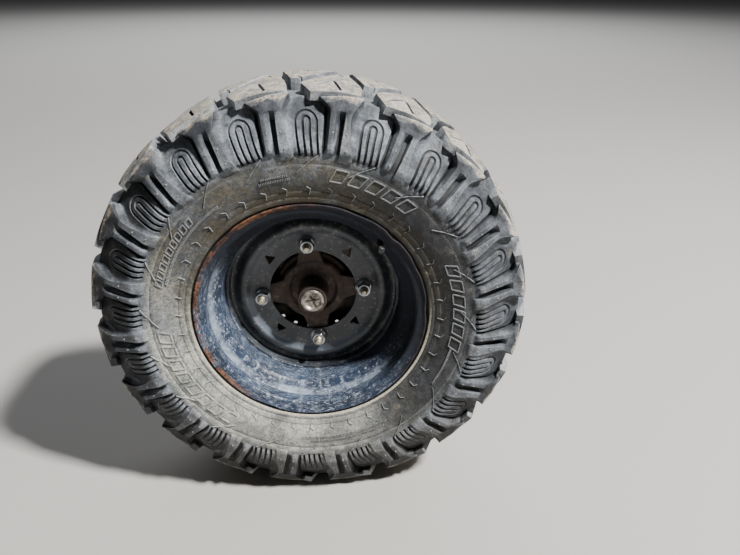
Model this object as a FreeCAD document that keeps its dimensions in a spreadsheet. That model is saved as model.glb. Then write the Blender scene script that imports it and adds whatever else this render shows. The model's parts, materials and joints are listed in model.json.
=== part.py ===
"""Rear wheel of a side by side utility vehicle, with the hub, brake and bearing carrier it runs on.

Millimetres. The axle runs along Y and the outboard face looks towards -Y. +Z is up. The origin is the
centre of the carrier's bolt circle, on the inboard face that bolts to the trailing arm.
"""
import FreeCAD, Part
import math
import os
import re

import Sketcher
from FreeCAD import Matrix, Placement, Rotation, Vector

DOC = FreeCAD.newDocument("RearWheel")
SHEET = DOC.addObject("Spreadsheet::Sheet", "Sizes")
AXLE = Vector(0, 1, 0)

# Columns: name, size in mm (counts, shares and angles in degrees are marked), what it is.
SIZES = [
    ("fit_gap", 0.2, "clearance where a piece seats in another on the same body"),
    ("running_gap", 0.4, "clearance at seals and brake pads, between what turns and what stands still"),
    ("clearance", 5.5, "clearance between a turning piece and any other that stands still"),
    ("tyre_mid", -78.0, "Y of the tyre's middle plane"),
    ("tyre_radius", 318.0, "over the tread blocks"),
    ("tread_depth", 15.0, "depth of the grooves between tread blocks"),
    ("sidewall_half", 118.0, "middle plane to the widest plain sidewall"),
    ("lug_stand", 5.5, "how far a lug's bars stand out past that"),
    ("belly_share", 0.44, "where the sidewall is widest, from the lip to the tread's base (share)"),
    ("lip_height", 7.5, "the tyre's lip above the rim's rolled edge"),
    ("lip_stand", 5.4, "how far that lip stands outside the rim flange"),
    ("tyre_wall", 9.0, "carcass thickness"),
    ("crown_half", 50.0, "middle plane to where the tread starts to fall away"),
    ("crown_drop", 10.0, "fall of the tread from there to the shoulder's corner"),
    ("shoulder_corner", 101.5, "middle plane to the shoulder's corner"),
    ("corner_drop", 18.0, "fall of a shoulder lug's tread at that corner"),
    ("pitch_count", 20, "lugs round each shoulder (count)"),
    ("lug_phase", 9.9, "first outboard lug from straight up, clockwise seen from outboard (deg)"),
    ("lug_stagger", 4.8, "inboard lugs against outboard ones (deg)"),
    ("lug_root_rise", 4.0, "inner end of a lug's bars above the widest sidewall"),
    ("lug_top_width", 52.0, "a lug's length round the tread"),
    ("lug_root_width", 27.0, "a lug's length round the sidewall, over its two bars"),
    ("lug_slot", 7.5, "slot between a lug's two bars"),
    ("shoulder_half", 93.0, "middle plane to the inner edge of the shoulder lugs"),
    ("shoulder_slant", 6.0, "how much narrower a shoulder lug's tread is at its anticlockwise end"),
    ("block_length", 80.0, "a centre block's length round the tread"),
    ("block_nose", 29.0, "how far a centre block's nose crosses the middle plane"),
    ("block_side", 85.0, "middle plane to the outer side of a centre block"),
    ("seat_radius", 152.4, "rim bead seat, half of 12 inches"),
    ("rim_half", 101.6, "middle plane to the inside of a rim flange, half of 8 inches"),
    ("flange_height", 15.1, "the rim's rolled edge above its bead seat"),
    ("flange_curl", 5.0, "how far the rolled edge turns outwards"),
    ("rim_wall", 2.6, "sheet thickness of the rim barrel"),
    ("seat_width", 21.0, "width of a bead seat"),
    ("well_depth", 17.8, "depth of the drop centre below the bead seats"),
    ("well_slope_out", 12.6, "axial length of the drop centre's outboard side"),
    ("well_slope_in", 28.0, "axial length of the drop centre's inboard side"),
    ("disc_back", -97.0, "Y of the face where the wheel disc meets the hub"),
    ("disc_wall", 4.0, "sheet thickness of the wheel disc"),
    ("disc_bore", 66.0, "radius of the wheel disc's centre hole"),
    ("flat_inset", 14.0, "end of the wheel disc's flat middle, inside its ridge"),
    ("hump_inset", 23.0, "the wheel disc's pressed ridge, inside the barrel"),
    ("hump_height", 6.0, "height of that ridge above the flat"),
    ("valley_offset", 12.0, "the valley outside the ridge, from the ridge"),
    ("valley_depth", 6.0, "depth of that valley below the flat"),
    ("skirt_length", 11.0, "the disc's turned up edge, from the flat to its welded rim"),
    ("vent_radius", 83.0, "radius of the four triangular holes"),
    ("vent_side", 16.0, "side of a triangular hole"),
    ("stud_count", 4, "wheel studs, arms and vents (count)"),
    ("stud_circle", 78.0, "radius of the stud circle, half of 156"),
    ("stud_turn", 4.9, "first stud from straight up, anticlockwise seen from outboard (deg)"),
    ("stud_radius", 6.0, "wheel stud"),
    ("stud_reach", 25.0, "how far a stud stands out of the wheel disc"),
    ("stud_head", 3.5, "thickness of a stud's head behind the hub's arm"),
    ("nut_flats", 19.0, "wheel nut across its flats"),
    ("nut_flange", 13.5, "radius of the wheel nut's flange"),
    ("nut_flange_wall", 4.0, "thickness of that flange"),
    ("nut_height", 16.0, "wheel nut with its flange"),
    ("arm_wall", 14.0, "thickness of the hub's arms"),
    ("arm_root", 44.0, "width of an arm at the hub's ring"),
    ("arm_end", 27.0, "width of an arm at its stud"),
    ("hub_ring", 46.5, "radius of the hub's front ring"),
    ("ring_wall", 9.5, "width of that ring, to the recess inside it"),
    ("hub_recess_depth", 7.0, "depth of that recess"),
    ("snout_radius", 21.5, "the hub's hollow snout"),
    ("snout_wall", 3.2, "wall of the snout"),
    ("snout_length", 35.0, "snout from the wheel disc's face to its end"),
    ("cap_wall", 2.0, "sheet thickness of the hub cap"),
    ("cap_depth", 9.0, "how far the hub cap goes into the snout"),
    ("cap_stand", 3.0, "how far the hub cap stands out of the snout"),
    ("hub_barrel", 32.0, "radius of the hub behind its arms"),
    ("rotor_boss", 56.0, "radius of the hub's boss that carries the brake disc"),
    ("rotor_front", -65.0, "Y of the brake disc's outboard face"),
    ("rotor_wall", 4.5, "thickness of the brake disc"),
    ("rotor_radius", 106.0, "outer radius of the brake disc"),
    ("rotor_bore", 37.0, "inner radius of the brake disc"),
    ("rotor_bolt_circle", 47.0, "radius of the brake disc's bolts"),
    ("rotor_bolt", 4.0, "radius of a brake disc bolt"),
    ("rotor_bolt_head", 3.5, "thickness of its button head"),
    ("rotor_hole_row", 81.0, "radius of the row of holes in the brake disc"),
    ("rotor_hole_count", 22, "holes in the row (count)"),
    ("rotor_hole", 3.2, "radius of a hole in the brake disc"),
    ("bearing_out", -46.0, "Y of the bearing's outboard end"),
    ("bearing_in", -6.0, "Y of the bearing's inboard end"),
    ("bearing_bore", 22.0, "radius of the bearing's bore"),
    ("bearing_outer", 42.0, "outer radius of the bearing"),
    ("race_wall", 5.5, "thickness of each bearing ring"),
    ("seal_wall", 3.0, "thickness of a bearing seal"),
    ("housing_wall", 10.0, "wall of the carrier's bearing housing"),
    ("housing_lip", 6.0, "carrier beyond the bearing's outboard end"),
    ("flange_wall", 13.0, "thickness of the carrier's bolted flange"),
    ("flange_bolt_circle", 66.0, "radius of the carrier's bolt circle"),
    ("flange_bolt_hole", 5.5, "radius of the carrier's bolt holes"),
    ("flange_ear", 13.0, "half width of the ear round a bolt hole"),
    ("flange_turn", 45.0, "first bolt hole from straight up (deg)"),
    ("clip_wall", 2.0, "thickness of the bearing's retaining ring"),
    ("clip_depth", 1.8, "how deep the retaining ring sits in the housing"),
    ("shaft_radius", 13.5, "stub axle through the hub"),
    ("thread_step", 3.0, "the thread's radius below the shaft's"),
    ("axle_nut_flats", 30.0, "axle nut across its flats"),
    ("axle_nut_height", 15.0, "axle nut"),
    ("washer_wall", 3.0, "washer under the axle nut"),
    ("thread_reach", 5.0, "stub axle beyond its nut"),
    ("cup_radius", 41.0, "outside of the drive joint's bell"),
    ("cup_start", 8.0, "Y at which the bell begins to widen"),
    ("cup_length", 54.0, "the bell from there to its open end"),
    ("cup_wall", 10.0, "wall of the bell"),
    ("cup_step", 4.0, "how much wider the step at the bell's mouth is"),
    ("cup_mouth_depth", 6.0, "depth of that step"),
    ("track_radius", 4.4, "radius of a ball track in the bell"),
    ("track_count", 6, "ball tracks (count)"),
    ("valve_turn", 45.0, "valve from straight up, clockwise seen from outboard (deg)"),
    ("valve_radius", 4.2, "valve stem"),
    ("valve_length", 26.0, "valve stem outboard of the rim's wall"),
    ("valve_cap_length", 9.0, "valve cap"),
    ("caliper_turn", -50.0, "middle of the brake caliper from straight up (deg)"),
    ("caliper_span", 52.0, "the caliper's reach round the brake disc (deg)"),
    ("caliper_bridge", 14.0, "thickness of the caliper's bridge over the brake disc"),
    ("caliper_arm", 8.0, "thickness of the caliper's outboard arm"),
    ("caliper_block", 22.0, "thickness of the caliper's inboard block"),
    ("piston_radius", 19.0, "radius of the caliper's piston housing"),
    ("piston_length", 12.0, "how far the piston housing stands inboard of the block"),
    ("pad_height", 31.0, "a brake pad across the brake disc"),
    ("pad_wall", 8.0, "a brake pad with its plate"),
    ("pad_span", 40.0, "a pad's reach round the brake disc (deg)"),
    ("lug_turn", 18.0, "each caliper bolt from the caliper's middle (deg)"),
    ("lug_wall", 9.0, "thickness of the carrier's two caliper lugs"),
    ("lug_hole", 4.2, "radius of the caliper bolts' holes"),
    ("lug_circle", 84.0, "radius at which the caliper bolts sit"),
]

# Formulas that several pieces share.
WELL = "(seat_radius - rim_wall - well_depth)"
FACE = "(disc_back - disc_wall)"
RIDGE = f"({WELL} - hump_inset)"
RECESS = "(disc_back + hub_recess_depth)"
SNOUT_END = f"({FACE} - snout_length)"
SNOUT_BORE = "(snout_radius - snout_wall)"
ROTOR_BACK = "(rotor_front + rotor_wall)"
INNER_RACE = "(bearing_bore + race_wall)"
OUTER_RACE = "(bearing_outer - race_wall)"
HOUSING = "(bearing_outer + housing_wall)"
HOUSING_END = "(bearing_out - housing_lip)"
THREAD = "(shaft_radius - thread_step)"
NUT_FRONT = f"({RECESS} - washer_wall - axle_nut_height)"
CUP_END = "(cup_start + cup_length)"
CUP_BORE = "(cup_radius - cup_wall)"
VALVE_WALL = "(tyre_mid - rim_half + seat_width + well_slope_out / 2)"
VALVE_RADIUS = "(seat_radius - rim_wall - well_depth / 2)"
BLOCK_BACK = f"({ROTOR_BACK} + running_gap + pad_wall + fit_gap + caliper_block)"


def write_sheet():
    """Write each size into the spreadsheet with its alias and what it is."""
    for row, (name, amount, note) in enumerate(SIZES, start=1):
        SHEET.set(f"A{row}", name)
        SHEET.set(f"B{row}", str(amount))
        SHEET.setAlias(f"B{row}", name)
        SHEET.set(f"C{row}", note)
    DOC.recompute()


def bound(formula):
    """Turn a formula of size names into one that other objects can read."""
    names = {name for name, _, _ in SIZES}
    return re.sub(r"[a-z_]+", lambda m: "Sizes." + m.group(0) if m.group(0) in names else m.group(0), formula)


def size(formula):
    """The value of one size, or of a formula of sizes."""
    answer = SHEET.evalExpression(bound(formula))
    return float(getattr(answer, "Value", answer))


def origin_plane(body, role):
    """One of a body's own origin planes or axes."""
    return next(feature for feature in body.Origin.OriginFeatures if feature.Role == role)


def new_body(label):
    """An empty body with its label."""
    body = DOC.addObject("PartDesign::Body", label)
    body.Label = label
    return body


def new_sketch(body, name, plane):
    """An empty sketch on one of the body's own origin planes."""
    sketch = body.newObject("Sketcher::SketchObject", name)
    sketch.AttachmentSupport = [(origin_plane(body, plane), "")]
    sketch.MapMode = "FlatFace"
    return sketch


def hold(sketch, geometry, point, across, along):
    """Hold one point of a sketch at two formulas."""
    for kind, formula in (("DistanceX", across), ("DistanceY", along)):
        number = sketch.addConstraint(Sketcher.Constraint(kind, -1, 1, geometry, point, size(formula)))
        sketch.setExpression(f"Constraints[{number}]", bound(formula))


def outline(body, name, plane, corners):
    """A closed sketch through corners, each a pair of formulas bound to the sheet."""
    sketch = new_sketch(body, name, plane)
    places = [Vector(size(across), size(along), 0) for across, along in corners]
    count = len(places)
    for index in range(count):
        sketch.addGeometry(Part.LineSegment(places[index], places[(index + 1) % count]), False)
    for index in range(count):
        sketch.addConstraint(Sketcher.Constraint("Coincident", index, 2, (index + 1) % count, 1))
    for index, (across, along) in enumerate(corners):
        hold(sketch, index, 1, across, along)
    return sketch


def circle(body, name, across, up, radius):
    """A sketched circle in the upright plane across the axle, from formulas."""
    sketch = new_sketch(body, name, "XZ_Plane")
    sketch.addGeometry(Part.Circle(Vector(size(across), size(up), 0), Vector(0, 0, 1), size(radius)), False)
    hold(sketch, 0, 3, across, up)
    number = sketch.addConstraint(Sketcher.Constraint("Radius", 0, size(radius)))
    sketch.setExpression(f"Constraints[{number}]", bound(radius))
    return sketch


def turned(label, corners):
    """A body turned about the axle from an outline of (radius, Y) formulas."""
    body = new_body(label)
    sketch = outline(body, label + "_section", "XY_Plane", corners)
    turning = body.newObject("PartDesign::Revolution", label + "_turning")
    turning.Profile = sketch
    turning.ReferenceAxis = (sketch, ["V_Axis"])
    turning.Angle = 360
    return body


def repeat(body, feature, copies):
    """Repeat one feature round the axle."""
    pattern = body.newObject("PartDesign::PolarPattern", feature.Name + "_pattern")
    pattern.Originals = [feature]
    pattern.Axis = (origin_plane(body, "Y_Axis"), [""])
    pattern.Angle = 360
    pattern.setExpression("Occurrences", bound(copies))
    body.Tip = pattern


def cut_through(body, sketch, copies=None):
    """Cut a sketch through the body along the axle, repeated round it if copies is a formula."""
    pocket = body.newObject("PartDesign::Pocket", sketch.Name + "_cut")
    pocket.Profile = sketch
    pocket.Type = "ThroughAll"
    pocket.Midplane = True
    if copies:
        repeat(body, pocket, copies)


def cut_between(body, sketch, start, end):
    """Cut a sketch out of the body from one Y to another, both formulas."""
    sketch.setExpression("AttachmentOffset.Base.z", bound(f"-({start})"))
    pocket = body.newObject("PartDesign::Pocket", sketch.Name + "_cut")
    pocket.Profile = sketch
    pocket.Type = "Length"
    pocket.setExpression("Length", bound(f"{end} - {start}"))
    return pocket


def pad_between(body, sketch, start, end):
    """Pad a sketch in the upright plane from one Y to another, both formulas."""
    sketch.setExpression("AttachmentOffset.Base.z", bound(f"-({start})"))
    pad = body.newObject("PartDesign::Pad", sketch.Name + "_pad")
    pad.Profile = sketch
    pad.setExpression("Length", bound(f"{end} - {start}"))
    pad.Reversed = True
    return pad


def turn_body(body, formula):
    """Turn a finished body about the axle, clockwise seen from outboard."""
    body.Placement = Placement(Vector(), Rotation(AXLE, size(formula)))
    body.setExpression("Placement.Rotation.Angle", bound(formula))


def coded(label, shape):
    """A sub-part whose shape is worked out in code from the sheet."""
    feature = DOC.addObject("Part::Feature", label)
    feature.Shape = shape
    feature.Label = label
    return feature


def prism(points, way):
    """The solid swept by a closed outline along way."""
    return Part.Face(Part.makePolygon(points + [points[0]])).extrude(way)


def turned_copy(shape, degrees):
    """A copy of a shape turned about the axle, clockwise seen from outboard."""
    matrix = Matrix()
    matrix.rotateY(math.radians(degrees))
    return shape.transformed(matrix, True)


def ring_of(shape, copies, first):
    """Copies of a shape all round the axle, from one at the angle first."""
    return [turned_copy(shape, first + 360.0 * index / copies) for index in range(int(copies))]


def rod(radius, start, end, up=0.0):
    """A round bar along the axle's direction."""
    return Part.makeCylinder(radius, end - start, Vector(0, start, up), AXLE)


def hexagon(flats, start, end, up=0.0):
    """A hexagonal bar along the axle's direction."""
    corner = flats / math.sqrt(3)
    turns = [math.radians(60 * step) for step in range(6)]
    points = [Vector(corner * math.sin(turn), start, up + corner * math.cos(turn)) for turn in turns]
    return prism(points, Vector(0, end - start, 0))


def ring_sector(corners, turn, span):
    """Part of a ring: an outline of (radius, Y) values turned about the axle over span degrees."""
    face = Part.Face(Part.makePolygon([Vector(0, along, radius) for radius, along in corners + corners[:1]]))
    return turned_copy(face.revolve(Vector(), AXLE, span), turn - span / 2)


def tyre_base():
    """Radius of the tread's base, between the blocks."""
    return size("tyre_radius - tread_depth")


def tyre_lip():
    """Radius of the tyre's lip over the rim's edge."""
    return size("seat_radius + flange_height + lip_height")


def belly_radius():
    """Radius at which the sidewall is widest."""
    return tyre_lip() + size("belly_share") * (tyre_base() - tyre_lip())


def make_carcass():
    """The plain tyre under its lugs: tread base, sidewalls, lips and beads, open at the rim."""
    middle, wall, gap = size("tyre_mid"), size("tyre_wall"), size("fit_gap")
    seat, rim_half = size("seat_radius") + gap, size("rim_half") - gap
    bead = rim_half - size("seat_width") + 2
    base, lip, belly = tyre_base(), tyre_lip(), belly_radius()
    lip_half, half, corner = size("rim_half + lip_stand"), size("sidewall_half"), size("shoulder_corner")
    inner = base - wall - 8, half - 2 * wall
    # Columns: radius, distance from the middle plane.
    section = [
        (seat + wall, bead), (seat, bead), (seat, rim_half), (lip - size("lip_height") - 1, rim_half),
        (lip + 2, lip_half), ((lip + belly) / 2, half - 4), (belly, half), (base - 13, corner - 7),
        (base, corner - 18)]
    outside = [Vector(radius, middle - away, 0) for radius, away in section]
    outside += [Vector(radius, middle + away, 0) for radius, away in reversed(section)]
    hollow = [(seat + wall, inner[1]), (belly + 6, inner[1]), (inner[0], corner - 17)]
    cavity = [Vector(radius, middle + away, 0) for radius, away in hollow]
    cavity += [Vector(radius, middle - away, 0) for radius, away in reversed(hollow)]
    corners = outside + cavity
    return Part.Face(Part.makePolygon(corners + corners[:1])).revolve(Vector(), AXLE, 360)


def make_lug():
    """One outboard shoulder lug at the top of the tyre: a wedge of tread over two bars."""
    middle, radius, corner = size("tyre_mid"), size("tyre_radius"), size("shoulder_corner")
    base, root = tyre_base(), belly_radius() + size("lug_root_rise")
    inner, half = size("shoulder_half"), size("sidewall_half + lug_stand")
    span = base - root
    fall = size("crown_drop") / (corner - size("crown_half"))
    core, wall_in = size("sidewall_half - 2 * tyre_wall") + 2, inner - 8
    # Columns: distance from the middle plane, radius. The last three lie inside the carcass's wall.
    section = [(inner - 2, radius - fall * (inner - 2 - size("crown_half"))), (corner, radius - size("corner_drop")),
               (half, root + 0.16 * span), (core, root - 3), (corner - 12, base - 16), (wall_in, base - 6)]
    reach = size("lug_top_width")
    side_view = prism([Vector(-reach, middle - away, up) for away, up in section], Vector(2 * reach, 0, 0))
    top, end, slot = size("lug_top_width / 2"), size("lug_root_width / 2"), size("lug_slot / 2")
    right = [(slot, base - 17), (slot, root - 5), (end, root - 5), (end, base - 22), (top, base + 3), (top, radius + 5)]
    front = right + [(-x, z) for x, z in reversed(right)]
    front_view = prism([Vector(x, middle, z) for x, z in front], Vector(0, -half - 5, 0))
    plan = [(-reach, inner + size("shoulder_slant")), (top, inner), (top, half + 5), (-reach, half + 5)]
    plan_view = prism([Vector(x, middle - away, root - 10) for x, away in plan], Vector(0, 0, radius - root + 20))
    return side_view.common(front_view).common(plan_view)


def make_block():
    """One outboard centre block at the top of the tyre, its nose across the middle plane."""
    middle, radius, base = size("tyre_mid"), size("tyre_radius"), tyre_base()
    length, nose, side = size("block_length"), size("block_nose"), size("block_side")
    # Columns: place round the tread as a share of the block's length, distance inboard of the middle plane.
    plan = [(-0.73, -0.7 * side), (-0.55, -side - 7), (-0.15, -side), (0.25, -side), (0.27, -0.78 * side),
            (0.03, nose - 2), (-0.13, nose)]
    blank = prism([Vector(share * length, middle + along, base - 8) for share, along in plan],
                  Vector(0, 0, size("tread_depth") + 12))
    far = 1.2 * size("shoulder_corner")
    flats = [Vector(share * length, middle - far, math.sqrt(radius ** 2 - (share * length) ** 2))
             for share in (-0.8, -0.2, 0.4)]
    flats += [Vector(0.4 * length, middle - far, base - 20), Vector(-0.8 * length, middle - far, base - 20)]
    fall = size("crown_drop") / (size("shoulder_corner") - size("crown_half"))
    crown = [(far, radius - fall * (far - size("crown_half"))), (size("crown_half"), radius), (-far, radius),
             (-far, base - 20), (far, base - 20)]
    crowned = prism([Vector(-length, middle - away, up) for away, up in crown], Vector(2 * length, 0, 0))
    return blank.common(prism(flats, Vector(0, 2 * far, 0))).common(crowned)


def make_tyre():
    """The tyre: carcass, two rows of centre blocks and two rows of shoulder lugs in one piece."""
    middle = size("tyre_mid")
    over = Matrix()
    over.move(Vector(0, -middle, 0))
    over.rotateZ(math.pi)
    over.move(Vector(0, middle, 0))
    pitches, phase = size("pitch_count"), size("lug_phase")
    raised = []
    for shape in (make_block(), make_lug()):
        raised += ring_of(shape, pitches, phase)
        raised += ring_of(shape.transformed(over, True), pitches, phase + size("lug_stagger"))
    coded("tyre", make_carcass().multiFuse(raised))


def make_rim():
    """The rolled rim barrel: flanges, bead seats and drop centre, in one thickness of sheet."""
    rolled = "seat_radius + flange_height"
    tyre_side, open_side = [], []
    # Columns: sign of the side, length of that side of the drop centre.
    for sign, slope in (("-", "well_slope_out"), ("+", "well_slope_in")):
        at = f"tyre_mid {sign} "
        # Columns: radius, Y. The tyre's side, from the middle outwards, then the same on the open side.
        tyre_half = [
            (f"{WELL} + rim_wall", at + f"(rim_half - seat_width - {slope})"),
            ("seat_radius", at + "(rim_half - seat_width)"), ("seat_radius", at + "rim_half"),
            (rolled + " - 4", at + "rim_half"), (rolled, at + "(rim_half + flange_curl)")]
        open_half = [
            (WELL, at + f"(rim_half - seat_width - {slope} + 1)"),
            ("seat_radius - rim_wall", at + "(rim_half - seat_width + 1)"),
            ("seat_radius - rim_wall", at + "(rim_half + rim_wall)"),
            (rolled + " - 5 - rim_wall", at + "(rim_half + rim_wall)"),
            (rolled + " - rim_wall", at + "(rim_half + flange_curl + 1)")]
        tyre_side = list(reversed(tyre_half)) + tyre_side if sign == "-" else tyre_side + tyre_half
        open_side = open_side + open_half if sign == "-" else list(reversed(open_half)) + open_side
    body = turned("rim_barrel", tyre_side + open_side)
    hole = circle(body, "valve_hole", "0", VALVE_RADIUS, "valve_radius + fit_gap")
    cut_between(body, hole, f"({VALVE_WALL} - well_slope_out)", f"({VALVE_WALL} + well_slope_out)")
    turn_body(body, "valve_turn")


def make_wheel_disc():
    """The pressed wheel disc: flat middle, ridge, valley and the edge that is welded into the barrel."""
    edge = f"({WELL} - fit_gap)"
    front = [
        ("disc_bore", FACE), (f"{RIDGE} - flat_inset", FACE), (f"{RIDGE} - 5", f"{FACE} - hump_height + 1"),
        (RIDGE, f"{FACE} - hump_height"), (f"{RIDGE} + 4", f"{FACE} - hump_height + 2"),
        (f"{RIDGE} + valley_offset - 1", f"{FACE} + valley_depth"),
        (f"{edge} - disc_wall - 2", f"{FACE} + valley_depth"),
        (f"{edge} - disc_wall", f"{FACE} + valley_depth - 2"), (f"{edge} - disc_wall", f"{FACE} - skirt_length")]
    back = [
        (edge, f"{FACE} - skirt_length"), (edge, "disc_back + valley_depth - 3"),
        (f"{edge} - 3", "disc_back + valley_depth"), (f"{RIDGE} + valley_offset - 3", "disc_back + valley_depth"),
        (f"{RIDGE} + 3", "disc_back - hump_height + 4"), (RIDGE, "disc_back - hump_height + 1"),
        (f"{RIDGE} - 5", "disc_back - hump_height + 2"), (f"{RIDGE} - flat_inset + 2", "disc_back"),
        ("disc_bore", "disc_back")]
    body = turned("wheel_disc", front + back)
    cut_through(body, circle(body, "stud_hole", "0", "stud_circle", "stud_radius + fit_gap"), "stud_count")
    inward, outward = "(vent_radius - vent_side * 0.577)", "(vent_radius + vent_side * 0.289)"
    half_way, half_side = "(180 / stud_count)", "vent_side / 2"
    vent = outline(body, "vent", "XZ_Plane", [
        (f"{inward} * sin({half_way})", f"{inward} * cos({half_way})"),
        (f"{outward} * sin({half_way}) + {half_side} * cos({half_way})",
         f"{outward} * cos({half_way}) - {half_side} * sin({half_way})"),
        (f"{outward} * sin({half_way}) - {half_side} * cos({half_way})",
         f"{outward} * cos({half_way}) + {half_side} * sin({half_way})")])
    cut_through(body, vent, "stud_count")
    turn_body(body, "-stud_turn")


def make_hub():
    """The cast hub: four arms, front ring and recess, snout, brake disc boss and splined barrel."""
    arm_back = "(disc_back + arm_wall)"
    bore = "shaft_radius + fit_gap"
    spigot = "rotor_bore - fit_gap"
    body = turned("wheel_hub", [
        (bore, RECESS), (SNOUT_BORE, RECESS), (SNOUT_BORE, SNOUT_END), ("snout_radius", SNOUT_END),
        ("snout_radius + 1.5", f"{RECESS} - 4"), ("hub_ring - ring_wall - 3", RECESS),
        ("hub_ring - ring_wall", "disc_back"), ("hub_ring", "disc_back - 1.5"), ("hub_ring + 3", "disc_back + 3"),
        ("hub_ring + 3", arm_back), ("rotor_boss", f"{arm_back} + 2"), ("rotor_boss", "rotor_front"),
        (spigot, "rotor_front"), (spigot, ROTOR_BACK), ("hub_barrel", ROTOR_BACK),
        (f"{INNER_RACE} - 1", f"{HOUSING_END} - 2"), (f"{INNER_RACE} - 1", "bearing_out"),
        ("bearing_bore - fit_gap", "bearing_out"), ("bearing_bore - fit_gap", "bearing_in + 0.5"),
        (bore, "bearing_in + 0.5")])
    arm = outline(body, "arm", "XZ_Plane", [
        ("-arm_root / 2", "hub_ring - 8"), ("arm_root / 2", "hub_ring - 8"), ("arm_root / 2 - 4", "hub_ring + 6"),
        ("arm_end / 2", "stud_circle - 4"), ("arm_end / 2", "stud_circle + 8"), ("arm_end / 4", "stud_circle + 14"),
        ("-arm_end / 4", "stud_circle + 14"), ("-arm_end / 2", "stud_circle + 8"),
        ("-arm_end / 2", "stud_circle - 4"), ("-arm_root / 2 + 4", "hub_ring + 6")])
    repeat(body, pad_between(body, arm, "disc_back", arm_back), "stud_count")
    cut_through(body, circle(body, "hub_stud_hole", "0", "stud_circle", "stud_radius + fit_gap"), "stud_count")
    thread = circle(body, "rotor_thread", "rotor_bolt_circle * sin(180 / stud_count)",
                    "rotor_bolt_circle * cos(180 / stud_count)", "rotor_bolt + fit_gap")
    repeat(body, cut_between(body, thread, f"({arm_back} + 2)", ROTOR_BACK), "stud_count")
    turn_body(body, "-stud_turn")


def make_studs_and_nuts():
    """The studs pressed in from behind the hub's arms, and their flanged nuts."""
    face, behind, up = size(FACE), size("disc_back + arm_wall"), size("stud_circle")
    radius, copies, first = size("stud_radius"), size("stud_count"), -size("stud_turn")
    stud = rod(radius, face - size("stud_reach"), behind, up)
    stud = stud.fuse(rod(radius + 3, behind, behind + size("stud_head"), up)).removeSplitter()
    coded("wheel_studs", Part.Compound(ring_of(stud, copies, first)))
    front = face - size("nut_height")
    nut = rod(size("nut_flange"), face - size("nut_flange_wall"), face, up)
    nut = nut.fuse(hexagon(size("nut_flats"), front, face - size("nut_flange_wall") / 2, up))
    nut = nut.cut(rod(radius + size("fit_gap") / 2, front - 1, face + 1, up))
    coded("wheel_nuts", Part.Compound(ring_of(nut, copies, first)))


def make_brake_disc():
    """The drilled brake disc on its boss behind the hub's arms, and the bolts that hold it."""
    body = turned("brake_disc", [
        ("rotor_bore", "rotor_front"), ("rotor_radius", "rotor_front"),
        ("rotor_radius", ROTOR_BACK), ("rotor_bore", ROTOR_BACK)])
    cut_through(body, circle(body, "rotor_hole", "0", "rotor_hole_row", "rotor_hole"), "rotor_hole_count")
    cut_through(body, circle(body, "rotor_bolt_hole", "0", "rotor_bolt_circle", "rotor_bolt + fit_gap"), "stud_count")
    turn_body(body, "180 / stud_count - stud_turn")
    back, up, radius = size(ROTOR_BACK), size("rotor_bolt_circle"), size("rotor_bolt")
    bolt = rod(radius, size("disc_back + arm_wall + 3"), back, up)
    bolt = bolt.fuse(rod(radius + 2.5, back, back + size("rotor_bolt_head"), up)).removeSplitter()
    first = size("180 / stud_count - stud_turn")
    coded("brake_disc_bolts", Part.Compound(ring_of(bolt, size("stud_count"), first)))


def make_axle():
    """The stub axle: thread, shaft, shoulder and the drive joint's bell with its ball tracks."""
    tip = f"({NUT_FRONT} - thread_reach)"
    body = turned("stub_axle", [
        ("0", tip), (f"{THREAD} - 1", tip), (THREAD, f"{tip} + 1"), (THREAD, f"{RECESS} + fit_gap"),
        ("shaft_radius", f"{RECESS} + thread_step + fit_gap"), ("shaft_radius", "bearing_in + 0.5 + fit_gap"),
        (f"{INNER_RACE} - 1", "bearing_in + 0.5 + fit_gap"), (f"{INNER_RACE} - 1", "cup_start - 4"),
        ("cup_radius - 3", "cup_start + 4"), ("cup_radius", "cup_start + 10"), ("cup_radius", CUP_END),
        (f"{CUP_BORE} + cup_step", CUP_END), (f"{CUP_BORE} + cup_step", f"{CUP_END} - cup_mouth_depth"),
        (CUP_BORE, f"{CUP_END} - cup_mouth_depth"), (CUP_BORE, "cup_start + 18"),
        (f"{CUP_BORE} * 0.6", "cup_start + 10"), ("0", "cup_start + 8")])
    track = circle(body, "ball_track", "0", CUP_BORE, "track_radius")
    repeat(body, cut_between(body, track, "(cup_start + 16)", f"({CUP_END} - cup_mouth_depth)"), "track_count")


def make_axle_nut():
    """The axle nut and its washer inside the snout."""
    bore, rim = f"{THREAD} + fit_gap", f"{SNOUT_BORE} - 1"
    turned("axle_washer", [
        (bore, RECESS), (rim, RECESS), (rim, f"{RECESS} - washer_wall"), (bore, f"{RECESS} - washer_wall")])
    front, seat = size(NUT_FRONT), size(f"{RECESS} - washer_wall")
    nut = hexagon(size("axle_nut_flats"), front, seat)
    coded("axle_nut", nut.cut(rod(size(f"{THREAD} + fit_gap / 2"), front - 1, seat + 1)))


def make_cap():
    """The pressed steel cap in the end of the snout, with its raised ring."""
    fit = f"({SNOUT_BORE} - fit_gap)"
    turned("hub_cap", [
        ("0", f"{SNOUT_END} + 1"), (f"{fit} - 6", f"{SNOUT_END} + 1"), (f"{fit} - 4.5", f"{SNOUT_END} - cap_stand"),
        (f"{fit} - 2", f"{SNOUT_END} - cap_stand"), (fit, f"{SNOUT_END} - cap_stand + 2"),
        (fit, f"{SNOUT_END} + cap_depth"), (f"{fit} - cap_wall", f"{SNOUT_END} + cap_depth"),
        (f"{fit} - cap_wall", f"{SNOUT_END} + 1 + cap_wall"), ("0", f"{SNOUT_END} + 1 + cap_wall")])


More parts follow.
